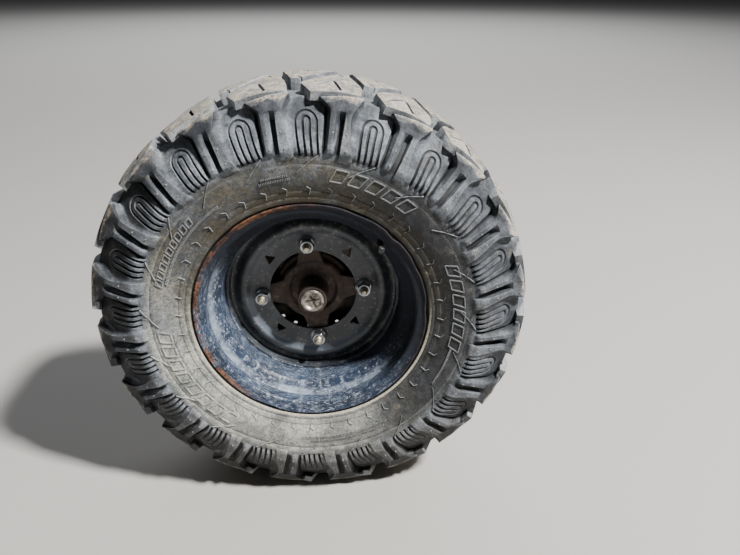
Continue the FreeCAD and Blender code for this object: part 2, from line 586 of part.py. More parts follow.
def make_bearing():
    """The bearing's two rings, its seals and the ring that retains it."""
    for label, inside, outside in (
            ("bearing_inner_ring", "bearing_bore", INNER_RACE),
            ("bearing_outer_ring", OUTER_RACE, "bearing_outer - fit_gap / 2")):
        turned(label, [(inside, "bearing_out"), (outside, "bearing_out"), (outside, "bearing_in"),
                       (inside, "bearing_in")])
    inside, outside = f"{INNER_RACE} + running_gap", f"{OUTER_RACE} - fit_gap / 2"
    for label, start in (("bearing_seal_outboard", "bearing_out + 1"),
                         ("bearing_seal_inboard", "bearing_in - 1 - seal_wall")):
        end = f"{start} + seal_wall"
        turned(label, [(inside, start), (outside, start), (outside, end), (inside, end)])
    start, end = "bearing_out - fit_gap - clip_wall", "bearing_out - fit_gap"
    inside, outside = "bearing_outer - race_wall + 1", "bearing_outer + clip_depth"
    clip = turned("retaining_ring", [(inside, start), (outside, start), (outside, end), (inside, end)])
    cut_through(clip, outline(clip, "clip_gap", "XZ_Plane", [
        ("-6", f"{inside} - 3"), ("6", f"{inside} - 3"), ("6", f"{outside} + 3"), ("-6", f"{outside} + 3")]))


def make_carrier():
    """The bearing carrier: housing, bolted flange with four ears, and two lugs for the caliper."""
    lip, groove = "(bearing_outer - race_wall + 1)", "bearing_outer + clip_depth + fit_gap"
    groove_out = "bearing_out - clip_wall - 2 * fit_gap"
    body = turned("bearing_carrier", [
        ("bearing_outer", HOUSING_END), (f"{HOUSING} - 2", HOUSING_END), (HOUSING, f"{HOUSING_END} + 2"),
        (f"{HOUSING} + 1.5", "-flange_wall"), (f"{HOUSING} + 6", "4 - flange_wall"), (f"{HOUSING} + 6", "0"),
        (lip, "0"), (lip, "bearing_in + fit_gap"), ("bearing_outer", "bearing_in + fit_gap"),
        ("bearing_outer", "bearing_out"), (groove, "bearing_out"), (groove, groove_out),
        ("bearing_outer", groove_out)])
    ear = outline(body, "ear", "XZ_Plane", [
        ("-flange_ear - 6", "bearing_outer + 4"), ("flange_ear + 6", "bearing_outer + 4"),
        ("flange_ear", "flange_bolt_circle + 2"), ("flange_ear / 2", "flange_bolt_circle + flange_ear - 1"),
        ("-flange_ear / 2", "flange_bolt_circle + flange_ear - 1"), ("-flange_ear", "flange_bolt_circle + 2")])
    repeat(body, pad_between(body, ear, "(-flange_wall)", "0"), "stud_count")
    rib_top = "flange_bolt_circle - flange_bolt_hole - 2"
    rib = outline(body, "rib", "XZ_Plane", [
        ("-4", "bearing_outer + 4"), ("4", "bearing_outer + 4"), ("4", rib_top), ("-4", rib_top)])
    repeat(body, pad_between(body, rib, "(-2 * flange_wall)", "(-flange_wall)"), "stud_count")
    cut_through(body, circle(body, "carrier_bolt_hole", "0", "flange_bolt_circle", "flange_bolt_hole"), "stud_count")
    for side in ("-", "+"):
        turn = f"(caliper_turn - flange_turn {side} lug_turn)"
        name = "trailing" if side == "-" else "leading"
        corners = [(across, up) for across, up in (
            ("-16", "bearing_outer + 5"), ("16", "bearing_outer + 5"), ("10", "lug_circle + 4"),
            ("5", "lug_circle + 10"), ("-5", "lug_circle + 10"), ("-10", "lug_circle + 4"))]
        lug = outline(body, f"{name}_lug", "XZ_Plane", [
            (f"({across}) * cos({turn}) + ({up}) * sin({turn})", f"({up}) * cos({turn}) - ({across}) * sin({turn})")
            for across, up in corners])
        pad_between(body, lug, f"({BLOCK_BACK} + fit_gap)", f"({BLOCK_BACK} + fit_gap + lug_wall)")
        hole = circle(body, f"{name}_lug_hole", f"lug_circle * sin({turn})", f"lug_circle * cos({turn})", "lug_hole")
        cut_between(body, hole, f"({BLOCK_BACK})", f"({BLOCK_BACK} + 1 + lug_wall)")
    turn_body(body, "flange_turn")


def make_caliper():
    """The sliding brake caliper, its two pads and its two bolts."""
    turn, gap = size("caliper_turn"), size("running_gap")
    over = size("rotor_radius + clearance")
    top = over + size("caliper_bridge")
    front, back = size("rotor_front"), size(ROTOR_BACK)
    pad_top, pad, fit = size("rotor_radius") - 2, size("pad_wall"), size("fit_gap")
    arm_back, block_front, block_back = front - gap - pad - fit, back + gap + pad + fit, size(BLOCK_BACK)
    arm_front = arm_back - size("caliper_arm")
    low = pad_top - size("pad_height") - 2
    # Columns: radius, Y. The outboard arm, the bridge over the brake disc and the inboard block.
    section = [(top, arm_front), (top, block_back), (low, block_back), (low, block_front), (over, block_front),
               (over, arm_back), (low + 24, arm_back), (low + 24, arm_front)]
    body = ring_sector(section, turn, size("caliper_span"))
    middle = (low + top) / 2 - 3
    housing = rod(size("piston_radius"), block_back - 1, block_back + size("piston_length"), middle)
    body = body.fuse(turned_copy(housing, turn))
    up, hole = size("lug_circle"), size("lug_hole")
    bolts = []
    for side in (-1, 1):
        angle = turn + side * size("lug_turn")
        body = body.cut(turned_copy(rod(hole, block_back - 16, block_back + 1, up), angle))
        head = block_back + size("fit_gap + lug_wall")
        bolt = rod(hole - fit, block_back - 15, head, up).fuse(rod(hole + 3, head, head + 5, up)).removeSplitter()
        bolts.append(turned_copy(bolt, angle))
    coded("brake_caliper", body)
    coded("caliper_bolts", Part.Compound(bolts))
    low_pad, span = pad_top - size("pad_height"), size("pad_span")
    pads = [ring_sector([(low_pad, start), (pad_top, start), (pad_top, start + pad), (low_pad, start + pad)], turn, span)
            for start in (front - gap - pad, back + gap)]
    coded("brake_pads", Part.Compound(pads))


def make_valve():
    """The rubber valve stem through the outboard side of the drop centre, and its cap."""
    up, wall, radius = size(VALVE_RADIUS), size(VALVE_WALL), size("valve_radius")
    tip = wall - size("valve_length")
    stem = rod(radius, tip, wall + size("well_slope_out"), up)
    coded("valve_stem", turned_copy(stem, size("valve_turn")))
    cap = rod(radius + 0.8, tip - size("valve_cap_length"), tip - size("fit_gap"), up)
    coded("valve_cap", turned_copy(cap, size("valve_turn")))


def export_all():
    """Check every object and write each sub-part's solids to its own file."""
    DOC.recompute()
    os.makedirs("parts", exist_ok=True)
    for item in DOC.Objects:
        if "Invalid" in item.State or "Error" in item.State:
            raise RuntimeError(f"{item.Label} failed: {item.State}")
    pieces = [item for item in DOC.Objects if item.TypeId in ("PartDesign::Body", "Part::Feature")]
    for piece in pieces:
        if piece.Shape.isNull() or not piece.Shape.isValid():
            raise RuntimeError(f"{piece.Label} has no valid shape")
    for piece in pieces:
        piece.Shape.exportStep(f"parts/{piece.Label}.step")
        print(piece.Label, len(piece.Shape.Solids), round(piece.Shape.Volume / 1000), "cm3")


write_sheet()
make_tyre()
make_rim()
make_wheel_disc()
make_hub()
make_studs_and_nuts()
make_brake_disc()
make_axle()
make_axle_nut()
make_cap()
make_bearing()
make_carrier()
make_caliper()
make_valve()
export_all()
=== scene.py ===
"""Dresses the rear wheel of a side by side utility vehicle: its shapes, finishes, camera and light.

Metres throughout. The axle runs along Y and the outboard face looks towards -Y. An angle is counted
clockwise from straight up, seen from outboard. Distances in mm are turned to metres by MM.
"""

import json
import logging
import math
from contextlib import contextmanager
from dataclasses import dataclass
from enum import Enum
from typing import Callable, Iterator, Optional, Sequence

import bmesh
import bpy
import numpy as np
from mathutils import Matrix, Vector

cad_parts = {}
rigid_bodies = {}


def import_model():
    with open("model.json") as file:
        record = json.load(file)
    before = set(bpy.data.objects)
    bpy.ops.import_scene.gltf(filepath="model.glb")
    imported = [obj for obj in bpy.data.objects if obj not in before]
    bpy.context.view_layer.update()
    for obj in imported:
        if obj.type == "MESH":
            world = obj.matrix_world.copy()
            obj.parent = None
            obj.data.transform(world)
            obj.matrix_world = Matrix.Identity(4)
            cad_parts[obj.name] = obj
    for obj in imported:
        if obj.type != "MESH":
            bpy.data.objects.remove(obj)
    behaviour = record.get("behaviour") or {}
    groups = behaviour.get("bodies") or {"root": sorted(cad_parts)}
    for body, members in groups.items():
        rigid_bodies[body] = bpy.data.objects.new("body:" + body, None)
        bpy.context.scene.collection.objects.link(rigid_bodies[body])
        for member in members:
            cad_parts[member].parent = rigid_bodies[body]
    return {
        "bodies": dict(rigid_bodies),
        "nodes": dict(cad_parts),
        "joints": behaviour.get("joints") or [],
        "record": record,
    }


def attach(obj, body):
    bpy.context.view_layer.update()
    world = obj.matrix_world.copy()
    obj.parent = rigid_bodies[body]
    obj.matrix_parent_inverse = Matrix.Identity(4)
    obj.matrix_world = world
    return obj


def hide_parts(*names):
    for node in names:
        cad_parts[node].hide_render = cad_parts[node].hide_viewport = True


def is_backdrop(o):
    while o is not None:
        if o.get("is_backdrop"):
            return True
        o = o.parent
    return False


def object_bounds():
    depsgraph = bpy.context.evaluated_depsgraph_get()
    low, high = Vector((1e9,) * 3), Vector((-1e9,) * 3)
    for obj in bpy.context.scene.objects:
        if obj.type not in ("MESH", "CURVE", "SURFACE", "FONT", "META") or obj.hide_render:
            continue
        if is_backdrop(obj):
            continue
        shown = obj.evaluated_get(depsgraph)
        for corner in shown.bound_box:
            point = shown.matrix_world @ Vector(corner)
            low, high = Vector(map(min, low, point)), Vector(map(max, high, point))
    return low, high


LOG = logging.getLogger("rear_wheel")
MM = 0.001
Pair = tuple[float, float]
Colour = tuple[float, float, float, float]
Socket = bpy.types.NodeSocket


class Body(Enum):
    """The two bodies of the frame."""
    WHEEL = "wheel"
    CARRIER = "carrier"


def on_wheel(radius: float, angle: float, along: float) -> tuple[float, float, float]:
    """A point from its radius (mm), angle (degrees clockwise) and Y (mm), in metres."""
    turn = math.radians(angle)
    return radius * math.sin(turn) * MM, along * MM, radius * math.cos(turn) * MM


def hexcode(code: str) -> Colour:
    """A colour as the shader takes it, from its screen code.

    Args:
        code: six hexadecimal digits.

    Returns:
        Linear red, green, blue and alpha.
    """
    parts = [int(code[index:index + 2], 16) / 255 for index in (0, 2, 4)]
    linear = [part / 12.92 if part <= 0.04045 else ((part + 0.055) / 1.055) ** 2.4 for part in parts]
    return linear[0], linear[1], linear[2], 1.0


# Node trees


class Graph:
    """A node tree with short ways to add nodes and join them."""

    def __init__(self, tree: bpy.types.NodeTree) -> None:
        """Start on an existing tree."""
        self.tree = tree

    def add(self, kind: str, inputs: Optional[dict] = None, **settings: object) -> bpy.types.Node:
        """Add one node.

        Args:
            kind: the node's type.
            inputs: socket name or number to a value, or to a socket to link from.
            settings: the node's own properties.

        Returns:
            The new node.
        """
        node = self.tree.nodes.new(kind)
        for name, value in settings.items():
            setattr(node, name, value)
        for key, value in (inputs or {}).items():
            self.feed(node.inputs[key], value)
        return node

    def feed(self, socket: bpy.types.NodeSocket, value: object) -> None:
        """Link a socket to another, or set its value.

        Args:
            socket: the input to fill.
            value: a socket to link from, or a plain value.
        """
        if isinstance(value, bpy.types.NodeSocket):
            self.tree.links.new(value, socket)
        else:
            socket.default_value = value

    def math(self, operation: str, *values: object) -> Socket:
        """The result of one operation, taken over the values from the first to the last.

        Args:
            operation: the node's operation.
            values: sockets or numbers, in order.

        Returns:
            The last node's output.
        """
        total = values[0]
        for value in values[1:]:
            total = self.add("ShaderNodeMath", {0: total, 1: value}, operation=operation).outputs[0]
        return total

    def plus(self, *values: object) -> Socket:
        """The sum of the values."""
        return self.math("ADD", *values)

    def minus(self, first: object, second: object) -> Socket:
        """The first value less the second."""
        return self.math("SUBTRACT", first, second)

    def times(self, *values: object) -> Socket:
        """The product of the values."""
        return self.math("MULTIPLY", *values)

    def most(self, first: object, second: object) -> Socket:
        """The larger of two values."""
        return self.math("MAXIMUM", first, second)

    def size_of(self, value: object) -> Socket:
        """A value without its sign."""
        return self.math("ABSOLUTE", value, 0.0)

    def mix(self, share: object, first: object, second: object) -> Socket:
        """A mix of two colours."""
        node = self.add("ShaderNodeMix", {0: share, 6: first, 7: second}, data_type="RGBA")
        return node.outputs[2]

    def cover(self, colour: object, share: object, over: object) -> Socket:
        """A colour under a share of another."""
        return self.mix(share, colour, over)

    def between(self, value: object, low: object, high: object, start: float = 0.0, end: float = 1.0,
                smooth: bool = True) -> Socket:
        """A value carried from low..high to start..end, held at both ends.

        Args:
            value: what is carried.
            low: where it starts.
            high: where it ends.
            start: the result at low.
            end: the result at high.
            smooth: whether it eases in and out.

        Returns:
            The carried value.
        """
        node = self.add("ShaderNodeMapRange", {"Value": value, "From Min": low, "From Max": high,
                                               "To Min": start, "To Max": end})
        node.interpolation_type = "SMOOTHSTEP" if smooth else "LINEAR"
        return node.outputs[0]

    def noise(self, vector: object, scale: float, detail: float = 4.0, rough: float = 0.55,
              twist: float = 0.0) -> Socket:
        """A noise value of about 0.5 either side."""
        node = self.add("ShaderNodeTexNoise", {"Vector": vector, "Scale": scale, "Detail": detail,
                                               "Roughness": rough, "Distortion": twist})
        return node.outputs["Fac"]


class Effects:
    """The shader groups that several finishes share, each built once."""

    def __init__(self) -> None:
        """Build every group."""
        self.place = self._place()
        self.speckle = self._speckle()
        self.streaks = self._streaks()
        self.grain = self._grain()

    @staticmethod
    def _group(name: str, inputs: Sequence[tuple[str, str, object]],
               outputs: Sequence[tuple[str, str]]) -> Graph:
        """An empty shader group with its sockets.

        Args:
            name: the group's name.
            inputs: name, socket type and first value of each input.
            outputs: name and socket type of each output.

        Returns:
            The group's graph.
        """
        tree = bpy.data.node_groups.new(name, "ShaderNodeTree")
        for label, kind, value in inputs:
            socket = tree.interface.new_socket(label, in_out="INPUT", socket_type=kind)
            if value is not None:
                socket.default_value = value
        for label, kind in outputs:
            tree.interface.new_socket(label, in_out="OUTPUT", socket_type=kind)
        return Graph(tree)

    def _place(self) -> bpy.types.NodeTree:
        """Where a point is on the wheel: radius, axial place, height and direction round the axle.

        Returns:
            The group's tree.
        """
        graph = self._group("place on wheel", [], [
            ("Point", "NodeSocketVector"), ("Radius", "NodeSocketFloat"), ("Along", "NodeSocketFloat"),
            ("Height", "NodeSocketFloat"), ("Across", "NodeSocketFloat"), ("Round", "NodeSocketVector")])
        point = graph.add("ShaderNodeTexCoord").outputs["Object"]
        split = graph.add("ShaderNodeSeparateXYZ", {0: point})
        flat = graph.add("ShaderNodeCombineXYZ", {0: split.outputs[0], 2: split.outputs[2]})
        radius = graph.add("ShaderNodeVectorMath", {0: flat.outputs[0]}, operation="LENGTH").outputs["Value"]
        round_way = graph.add("ShaderNodeVectorMath", {0: flat.outputs[0]}, operation="NORMALIZE").outputs[0]
        out = graph.add("NodeGroupOutput")
        for name, value in (("Point", point), ("Radius", radius), ("Along", split.outputs[1]),
                            ("Height", split.outputs[2]), ("Across", split.outputs[0]), ("Round", round_way)):
            graph.feed(out.inputs[name], value)
        return graph.tree

    def _speckle(self) -> bpy.types.NodeTree:
        """Blown grit: patches that break up into single specks.

        Returns:
            The group's tree.
        """
        graph = self._group("speckle", [
            ("Vector", "NodeSocketVector", None), ("Patch Scale", "NodeSocketFloat", 20.0),
            ("Speck Scale", "NodeSocketFloat", 400.0), ("Amount", "NodeSocketFloat", 0.5)],
            [("Mask", "NodeSocketFloat")])
        put = graph.add("NodeGroupInput").outputs
        patch = graph.add("ShaderNodeTexNoise", {"Vector": put["Vector"], "Scale": put["Patch Scale"],
                                                 "Detail": 6.0, "Roughness": 0.65}).outputs["Fac"]
        speck = graph.add("ShaderNodeTexNoise", {"Vector": put["Vector"], "Scale": put["Speck Scale"],
                                                 "Detail": 3.0, "Roughness": 0.7}).outputs["Fac"]
        total = graph.plus(patch, graph.times(speck, 0.6))
        total = graph.plus(total, graph.times(put["Amount"], 0.6))
        mask = graph.between(total, 1.05, 1.25)
        graph.feed(graph.add("NodeGroupOutput").inputs["Mask"], mask)
        return graph.tree

    def _streaks(self) -> bpy.types.NodeTree:
        """Scuffs drawn out round the axle.

        Returns:
            The group's tree.
        """
        graph = self._group("streaks round the axle", [
            ("Round", "NodeSocketVector", None), ("Radius", "NodeSocketFloat", 0.1),
            ("Along", "NodeSocketFloat", 0.0), ("Length Scale", "NodeSocketFloat", 4.0),
            ("Width Scale", "NodeSocketFloat", 300.0), ("Amount", "NodeSocketFloat", 0.5)],
            [("Mask", "NodeSocketFloat")])
        put = graph.add("NodeGroupInput").outputs
        stretched = graph.add("ShaderNodeVectorMath", {0: put["Round"]}, operation="SCALE")
        graph.feed(stretched.inputs["Scale"], put["Length Scale"])
        across = graph.times(graph.plus(put["Radius"], put["Along"]), put["Width Scale"])
        lift = graph.add("ShaderNodeCombineXYZ", {1: across})
        vector = graph.add("ShaderNodeVectorMath", {0: stretched.outputs[0], 1: lift.outputs[0]},
                           operation="ADD").outputs[0]
        lines = graph.noise(vector, 1.0, 5.0, 0.62)
        total = graph.plus(lines, graph.times(put["Amount"], 0.4))
        graph.feed(graph.add("NodeGroupOutput").inputs["Mask"], graph.between(total, 0.68, 0.86))
        return graph.tree

    def _grain(self) -> bpy.types.NodeTree:
        """Fine surface height: a coarse swell, a fine grain and small pits.

        Returns:
            The group's tree.
        """
        graph = self._group("surface grain", [
            ("Vector", "NodeSocketVector", None), ("Coarse Scale", "NodeSocketFloat", 60.0),
            ("Fine Scale", "NodeSocketFloat", 900.0), ("Pit Scale", "NodeSocketFloat", 250.0)],
            [("Height", "NodeSocketFloat")])
        put = graph.add("NodeGroupInput").outputs
        coarse = graph.add("ShaderNodeTexNoise", {"Vector": put["Vector"], "Scale": put["Coarse Scale"],
                                                  "Detail": 4.0}).outputs["Fac"]
        fine = graph.add("ShaderNodeTexNoise", {"Vector": put["Vector"], "Scale": put["Fine Scale"],
                                                "Detail": 2.0}).outputs["Fac"]
        pits = graph.add("ShaderNodeTexVoronoi", {"Vector": put["Vector"], "Scale": put["Pit Scale"]})
        pits_mask = graph.between(pits.outputs["Distance"], 0.05, 0.35)
        total = graph.plus(coarse, graph.times(fine, 0.5))
        total = graph.plus(total, graph.times(pits_mask, 0.3))
        graph.feed(graph.add("NodeGroupOutput").inputs["Height"], total)
        return graph.tree


class Finish:
    """One material in the making: its graph, its place sockets and its shader."""

    def __init__(self, name: str, effects: Effects) -> None:
        """Start a material with the place group and an empty shader.

        Args:
            name: the material's name.
            effects: the shared groups.
        """
        self.material = bpy.data.materials.new(name)
        self.material.use_nodes = True
        self.material.node_tree.nodes.clear()
        self.effects = effects
        self.graph = Graph(self.material.node_tree)
        self.shader = self.graph.add("ShaderNodeBsdfPrincipled")
        out = self.graph.add("ShaderNodeOutputMaterial")
        self.graph.feed(out.inputs["Surface"], self.shader.outputs[0])
        self.place = self.group(effects.place).outputs

    def group(self, tree: bpy.types.NodeTree, **inputs: object) -> bpy.types.Node:
        """Place a shared group, with input names written with underscores for spaces.

        Args:
            tree: the group.
            inputs: its input values.

        Returns:
            The group's node.
        """
        node = self.graph.add("ShaderNodeGroup", node_tree=tree)
        for name, value in inputs.items():
            self.graph.feed(node.inputs[name.replace("_", " ")], value)
        return node

    def speckle(self, patch: float, speck: float, amount: object) -> Socket:
        """A mask of blown grit."""
        return self.group(self.effects.speckle, Vector=self.place["Point"], Patch_Scale=patch,
                          Speck_Scale=speck, Amount=amount).outputs["Mask"]

    def streaks(self, length: float, width: float, amount: object) -> Socket:
        """A mask of scuffs round the axle."""
        return self.group(self.effects.streaks, Round=self.place["Round"], Radius=self.place["Radius"],
                          Along=self.place["Along"], Length_Scale=length, Width_Scale=width,
                          Amount=amount).outputs["Mask"]

    def bump(self, height: object, distance: float, strength: float) -> None:
        """Raise the surface by a height, over a distance in metres."""
        inputs = {"Height": height, "Distance": distance, "Strength": strength}
        self.graph.feed(self.shader.inputs["Normal"], self.graph.add("ShaderNodeBump", inputs).outputs[0])

    def grain(self, coarse: float, fine: float, pits: float) -> Socket:
        """The shared surface grain's height."""
        return self.group(self.effects.grain, Vector=self.place["Point"], Coarse_Scale=coarse,
                          Fine_Scale=fine, Pit_Scale=pits).outputs["Height"]

    def settle(self, **values: object) -> bpy.types.Material:
        """Set or link the shader's sockets, with spaces as underscores, and give the material back.

        Args:
            values: the shader's sockets and what they take.

        Returns:
            The material.
        """
        for name, value in values.items():
            self.graph.feed(self.shader.inputs[name.replace("_", " ")], value)
        return self.material

    def cloud(self, scale: float, detail: float, rough: float, low: float, high: float, start: float = 0.0,
              end: float = 1.0) -> Socket:
        """A cloudy mask: noise of that scale, detail and roughness, carried from low..high to start..end."""
        noise = self.graph.noise(self.place["Point"], scale, detail, rough)
        return self.graph.between(noise, low, high, start, end)

    def facing_out(self) -> Socket:
        """How far the surface faces away from the axle, -1 to 1."""
        normal = self.graph.add("ShaderNodeNewGeometry").outputs["Normal"]
        return self.graph.add("ShaderNodeVectorMath", {0: normal, 1: self.place["Round"]},
                              operation="DOT_PRODUCT").outputs["Value"]


@dataclass(frozen=True)
class DustyRubber:
    """Sun-dried tyre rubber: dust on the sidewall, grey-black lugs, cream dust where it meets the ground,
    with painted shade and painted highlights where light and shade fall.

    Distances are in metres. The panels' plain face stands panel_away off the middle plane, less panel_fall
    for each metre of radius past panel_foot, and panel_limit at most.
    """
    rubber: Colour = hexcode("3e444c")
    pale_rubber: Colour = hexcode("858c96")
    # Dark rubber for the fine mottling, and the colour of the painted shade in the rim gap, creases, voids
    # and on the sidewall's right.
    shade_and_dark_rubber: Colour = hexcode("121315")
    # Colour of the painted shade on the lugs.
    painted_shade_rubber: Colour = hexcode("151517")
    low_brown: Colour = hexcode("5e584b")
    side_dust: Colour = hexcode("5e594a")
    low_dust: Colour = hexcode("c2c3ba")
    cream_dust: Colour = hexcode("b2a99b")
    lip_highlight: Colour = hexcode("d6cfbb")
    edge_highlight: Colour = hexcode("b4b8bb")
    groove_dust: Colour = hexcode("6f7478")
    brown_stain: Colour = hexcode("443e30")
    middle: float = -0.078
    sidewall_radius: float = 0.232
    panel_foot: float = 0.2494
    panel_away: float = 0.1206
    panel_limit: float = 0.1222
    panel_fall: float = 0.69
    lug_feet: Pair = (0.2375, 0.2400)
    lug_heads: Pair = (0.3010, 0.2900)
    bead_gap_shade: Pair = (0.1700, 0.1692)
    lip_inner: Pair = (0.1696, 0.1701)
    lip_outer: Pair = (0.1731, 0.1723)

    def off_middle(self, make: Finish) -> Socket:
        """How far a point lies off the tyre's middle plane."""
        return make.graph.size_of(make.graph.minus(make.place["Along"], self.middle))

    def below_panels(self, make: Finish, off: Socket) -> Socket:
        """How deep a point lies under the panels' plain face; above it, less than 0.

        Args:
            make: the material in the making.
            off: distance off the middle plane.

        Returns:
            The depth, in metres.
        """
        graph = make.graph
        fall = graph.times(graph.minus(make.place["Radius"], self.panel_foot), self.panel_fall)
        panel = graph.math("MINIMUM", graph.minus(self.panel_away, fall), self.panel_limit)
        return graph.minus(panel, off)

    def voids(self, make: Finish, depth: Socket) -> Socket:
        """The voids beside the panels, which no light reaches."""
        graph, radius = make.graph, make.place["Radius"]
        return graph.times(graph.between(depth, 0.0012, 0.0042, 0.0, 1.0, False),
                           graph.between(radius, *self.lug_feet), graph.between(radius, *self.lug_heads))

    def painted_lug_shade(self, make: Finish, depth: Socket) -> Socket:
        """Painted shade on the lugs: darker bars' flanks, steep walls low down, crowns' edges and the right
        side.

        Args:
            make: the material in the making.
            depth: depth under the panels' plain face.

        Returns:
            The mask, 0 to 1.
        """
        graph, place = make.graph, make.place
        lugs = graph.between(place["Radius"], *self.lug_feet)
        flanks = graph.times(graph.between(depth, -0.0012, -0.0036), lugs,
                             graph.between(make.facing_out(), 0.52, 0.46), 0.38)
        under = graph.between(graph.plus(place["Height"], graph.times(place["Across"], 0.7)), 0.15, -0.01)
        steep = graph.times(graph.between(make.facing_out(), 0.44, 0.56),
                            graph.between(place["Radius"], 0.246, 0.256), under, 0.92)
        crown = graph.times(graph.between(depth, -0.0075, -0.0100),
                            graph.between(place["Radius"], 0.284, 0.290),
                            graph.between(under, 0.0, 1.0, 0.50, 0.88),
                            graph.between(make.facing_out(), 0.86, 0.74))
        right = graph.times(graph.between(place["Across"], 0.07, 0.24, 0.0, 0.42), lugs)
        return graph.most(graph.most(flanks, graph.most(steep, crown)), right)

    def side(self, make: Finish, colour: Socket) -> Socket:
        """The sidewall's dust, patchy and paler below, with dark specks of bare rubber, and painted shade
        darkening its right side.

        Args:
            make: the material in the making.
            colour: the colour so far.

        Returns:
            The colour with it.
        """
        graph, place = make.graph, make.place
        side = graph.between(place["Radius"], self.sidewall_radius + 0.007, self.sidewall_radius - 0.006)
        low = graph.between(graph.plus(place["Height"], graph.times(place["Across"], 0.55)), 0.03, -0.16)
        thin = graph.between(place["Across"], 0.03, 0.17, 1.0, 0.45)
        film = graph.times(side, thin, make.cloud(22.0, 7.0, 0.68, 0.38, 0.60, 0.30, 0.95))
        colour = graph.cover(colour, film, graph.mix(low, self.side_dust, self.low_dust))
        blots = graph.times(make.cloud(120.0, 8.0, 0.80, 0.44, 0.60), side,
                            graph.between(low, 0.0, 1.0, 0.85, 0.36))
        colour = graph.cover(colour, blots, self.rubber)
        # Painted shade: the sidewall darkens towards the right.
        dim = graph.times(side, graph.between(place["Across"], 0.03, 0.16, 0.0, 0.72))
        return graph.cover(colour, dim, self.shade_and_dark_rubber)

    def bead(self, make: Finish, colour: Socket) -> Socket:
        """Painted shade in the gap at the rim, a pale painted highlight along the lip below and the brown
        stain above.

        Args:
            make: the material in the making.
            colour: the colour so far.

        Returns:
            The colour with it.
        """
        graph, place = make.graph, make.place
        radius = place["Radius"]
        # Painted shade in the gap between the bead and the rim.
        colour = graph.cover(colour, graph.between(radius, *self.bead_gap_shade), self.shade_and_dark_rubber)
        # Painted highlight: a pale line along the lip, on its lower half only.
        lip = graph.times(graph.between(radius, *self.lip_inner), graph.between(radius, *self.lip_outer),
                          graph.between(place["Height"], 0.05, -0.05))
        colour = graph.cover(colour, lip, self.lip_highlight)
        stain = graph.times(graph.between(radius, 0.206, 0.178), make.cloud(34.0, 6.0, 0.72, 0.36, 0.60),
                            graph.between(place["Height"], -0.08, 0.10, 0.12, 1.0), 0.85)
        return graph.cover(colour, stain, self.brown_stain)

    def edges(self, make: Finish, colour: Socket) -> Socket:
        """Painted highlights along the edges, and painted shade in the creases.

        Args:
            make: the material in the making.
            colour: the colour so far.

        Returns:
            The colour with it.
        """
        graph = make.graph
        bend = graph.add("ShaderNodeNewGeometry").outputs["Pointiness"]
        lugs = graph.between(make.place["Radius"], 0.228, 0.238, 0.55, 1.0)
        # Painted highlight on convex edges and painted shade in the creases, from the mesh's pointiness.
        ridge = graph.times(graph.between(bend, 0.515, 0.60), lugs, 0.62)
        crease = graph.times(graph.between(bend, 0.485, 0.42), lugs, 0.75)
        return graph.cover(graph.cover(colour, ridge, self.edge_highlight), crease, self.shade_and_dark_rubber)

    def build(self, effects: Effects) -> bpy.types.Material:
        """The tyre's material.

        Args:
            effects: the shared groups.

        Returns:
            The material.
        """
        make = Finish("dusty_rubber", effects)
        graph, place = make.graph, make.place
        off = self.off_middle(make)
        depth = self.below_panels(make, off)
        swirl = graph.noise(place["Point"], 26.0, 7.0, 0.66, 0.3)
        colour = graph.mix(graph.between(swirl, 0.36, 0.66), self.rubber, self.pale_rubber)
        outward = make.facing_out()
        grooves = graph.times(graph.between(place["Radius"], 0.286, 0.296),
                              graph.between(outward, 0.45, 0.85))
        dusted = graph.times(grooves, graph.between(swirl, 0.3, 0.6, 0.35, 0.9))
        colour = graph.cover(colour, dusted, self.groove_dust)
        colour = graph.cover(colour, graph.between(place["Height"], -0.10, -0.24, 0.0, 0.45), self.low_brown)
        # Painted shade: the lugs' flanks, steep walls low down, crowns' edges and right side are darkened.
        colour = graph.cover(colour, self.painted_lug_shade(make, depth), self.painted_shade_rubber)
        # Sidewall dust with painted shade on its right, painted shade in the rim gap, a painted highlight on
        # the lip, and painted highlights and shade on edges and creases.
        colour = self.edges(make, self.bead(make, self.side(make, colour)))
        start = graph.between(off, 0.0860, 0.0925, 0.3062, 0.2994, False)
        worn = graph.times(graph.between(graph.minus(place["Radius"], start), 0.0, 0.0012),
                           graph.between(outward, 0.56, 0.70))
        chips = make.cloud(85.0, 9.0, 0.82, 0.455, 0.545, 0.22, 1.0)
        colour = graph.cover(colour, graph.times(worn, chips), self.cream_dust)
        colour = graph.cover(colour, graph.times(make.speckle(55.0, 950.0, 0.26), 0.45), self.cream_dust)
        colour = graph.cover(colour, make.cloud(330.0, 8.0, 0.85, 0.44, 0.58, 0.0, 0.52), self.shade_and_dark_rubber)
        # Painted shade: the voids beside the panels are darkened.
        colour = graph.cover(colour, graph.times(self.voids(make, depth), 0.92), self.shade_and_dark_rubber)
        rough = graph.between(graph.plus(worn, grooves), 0.0, 1.0, 0.66, 0.9)
        make.bump(make.grain(110.0, 1300.0, 420.0), 0.0008, 0.75)
        return make.settle(Base_Color=colour, Roughness=rough, Specular_IOR_Level=0.35)


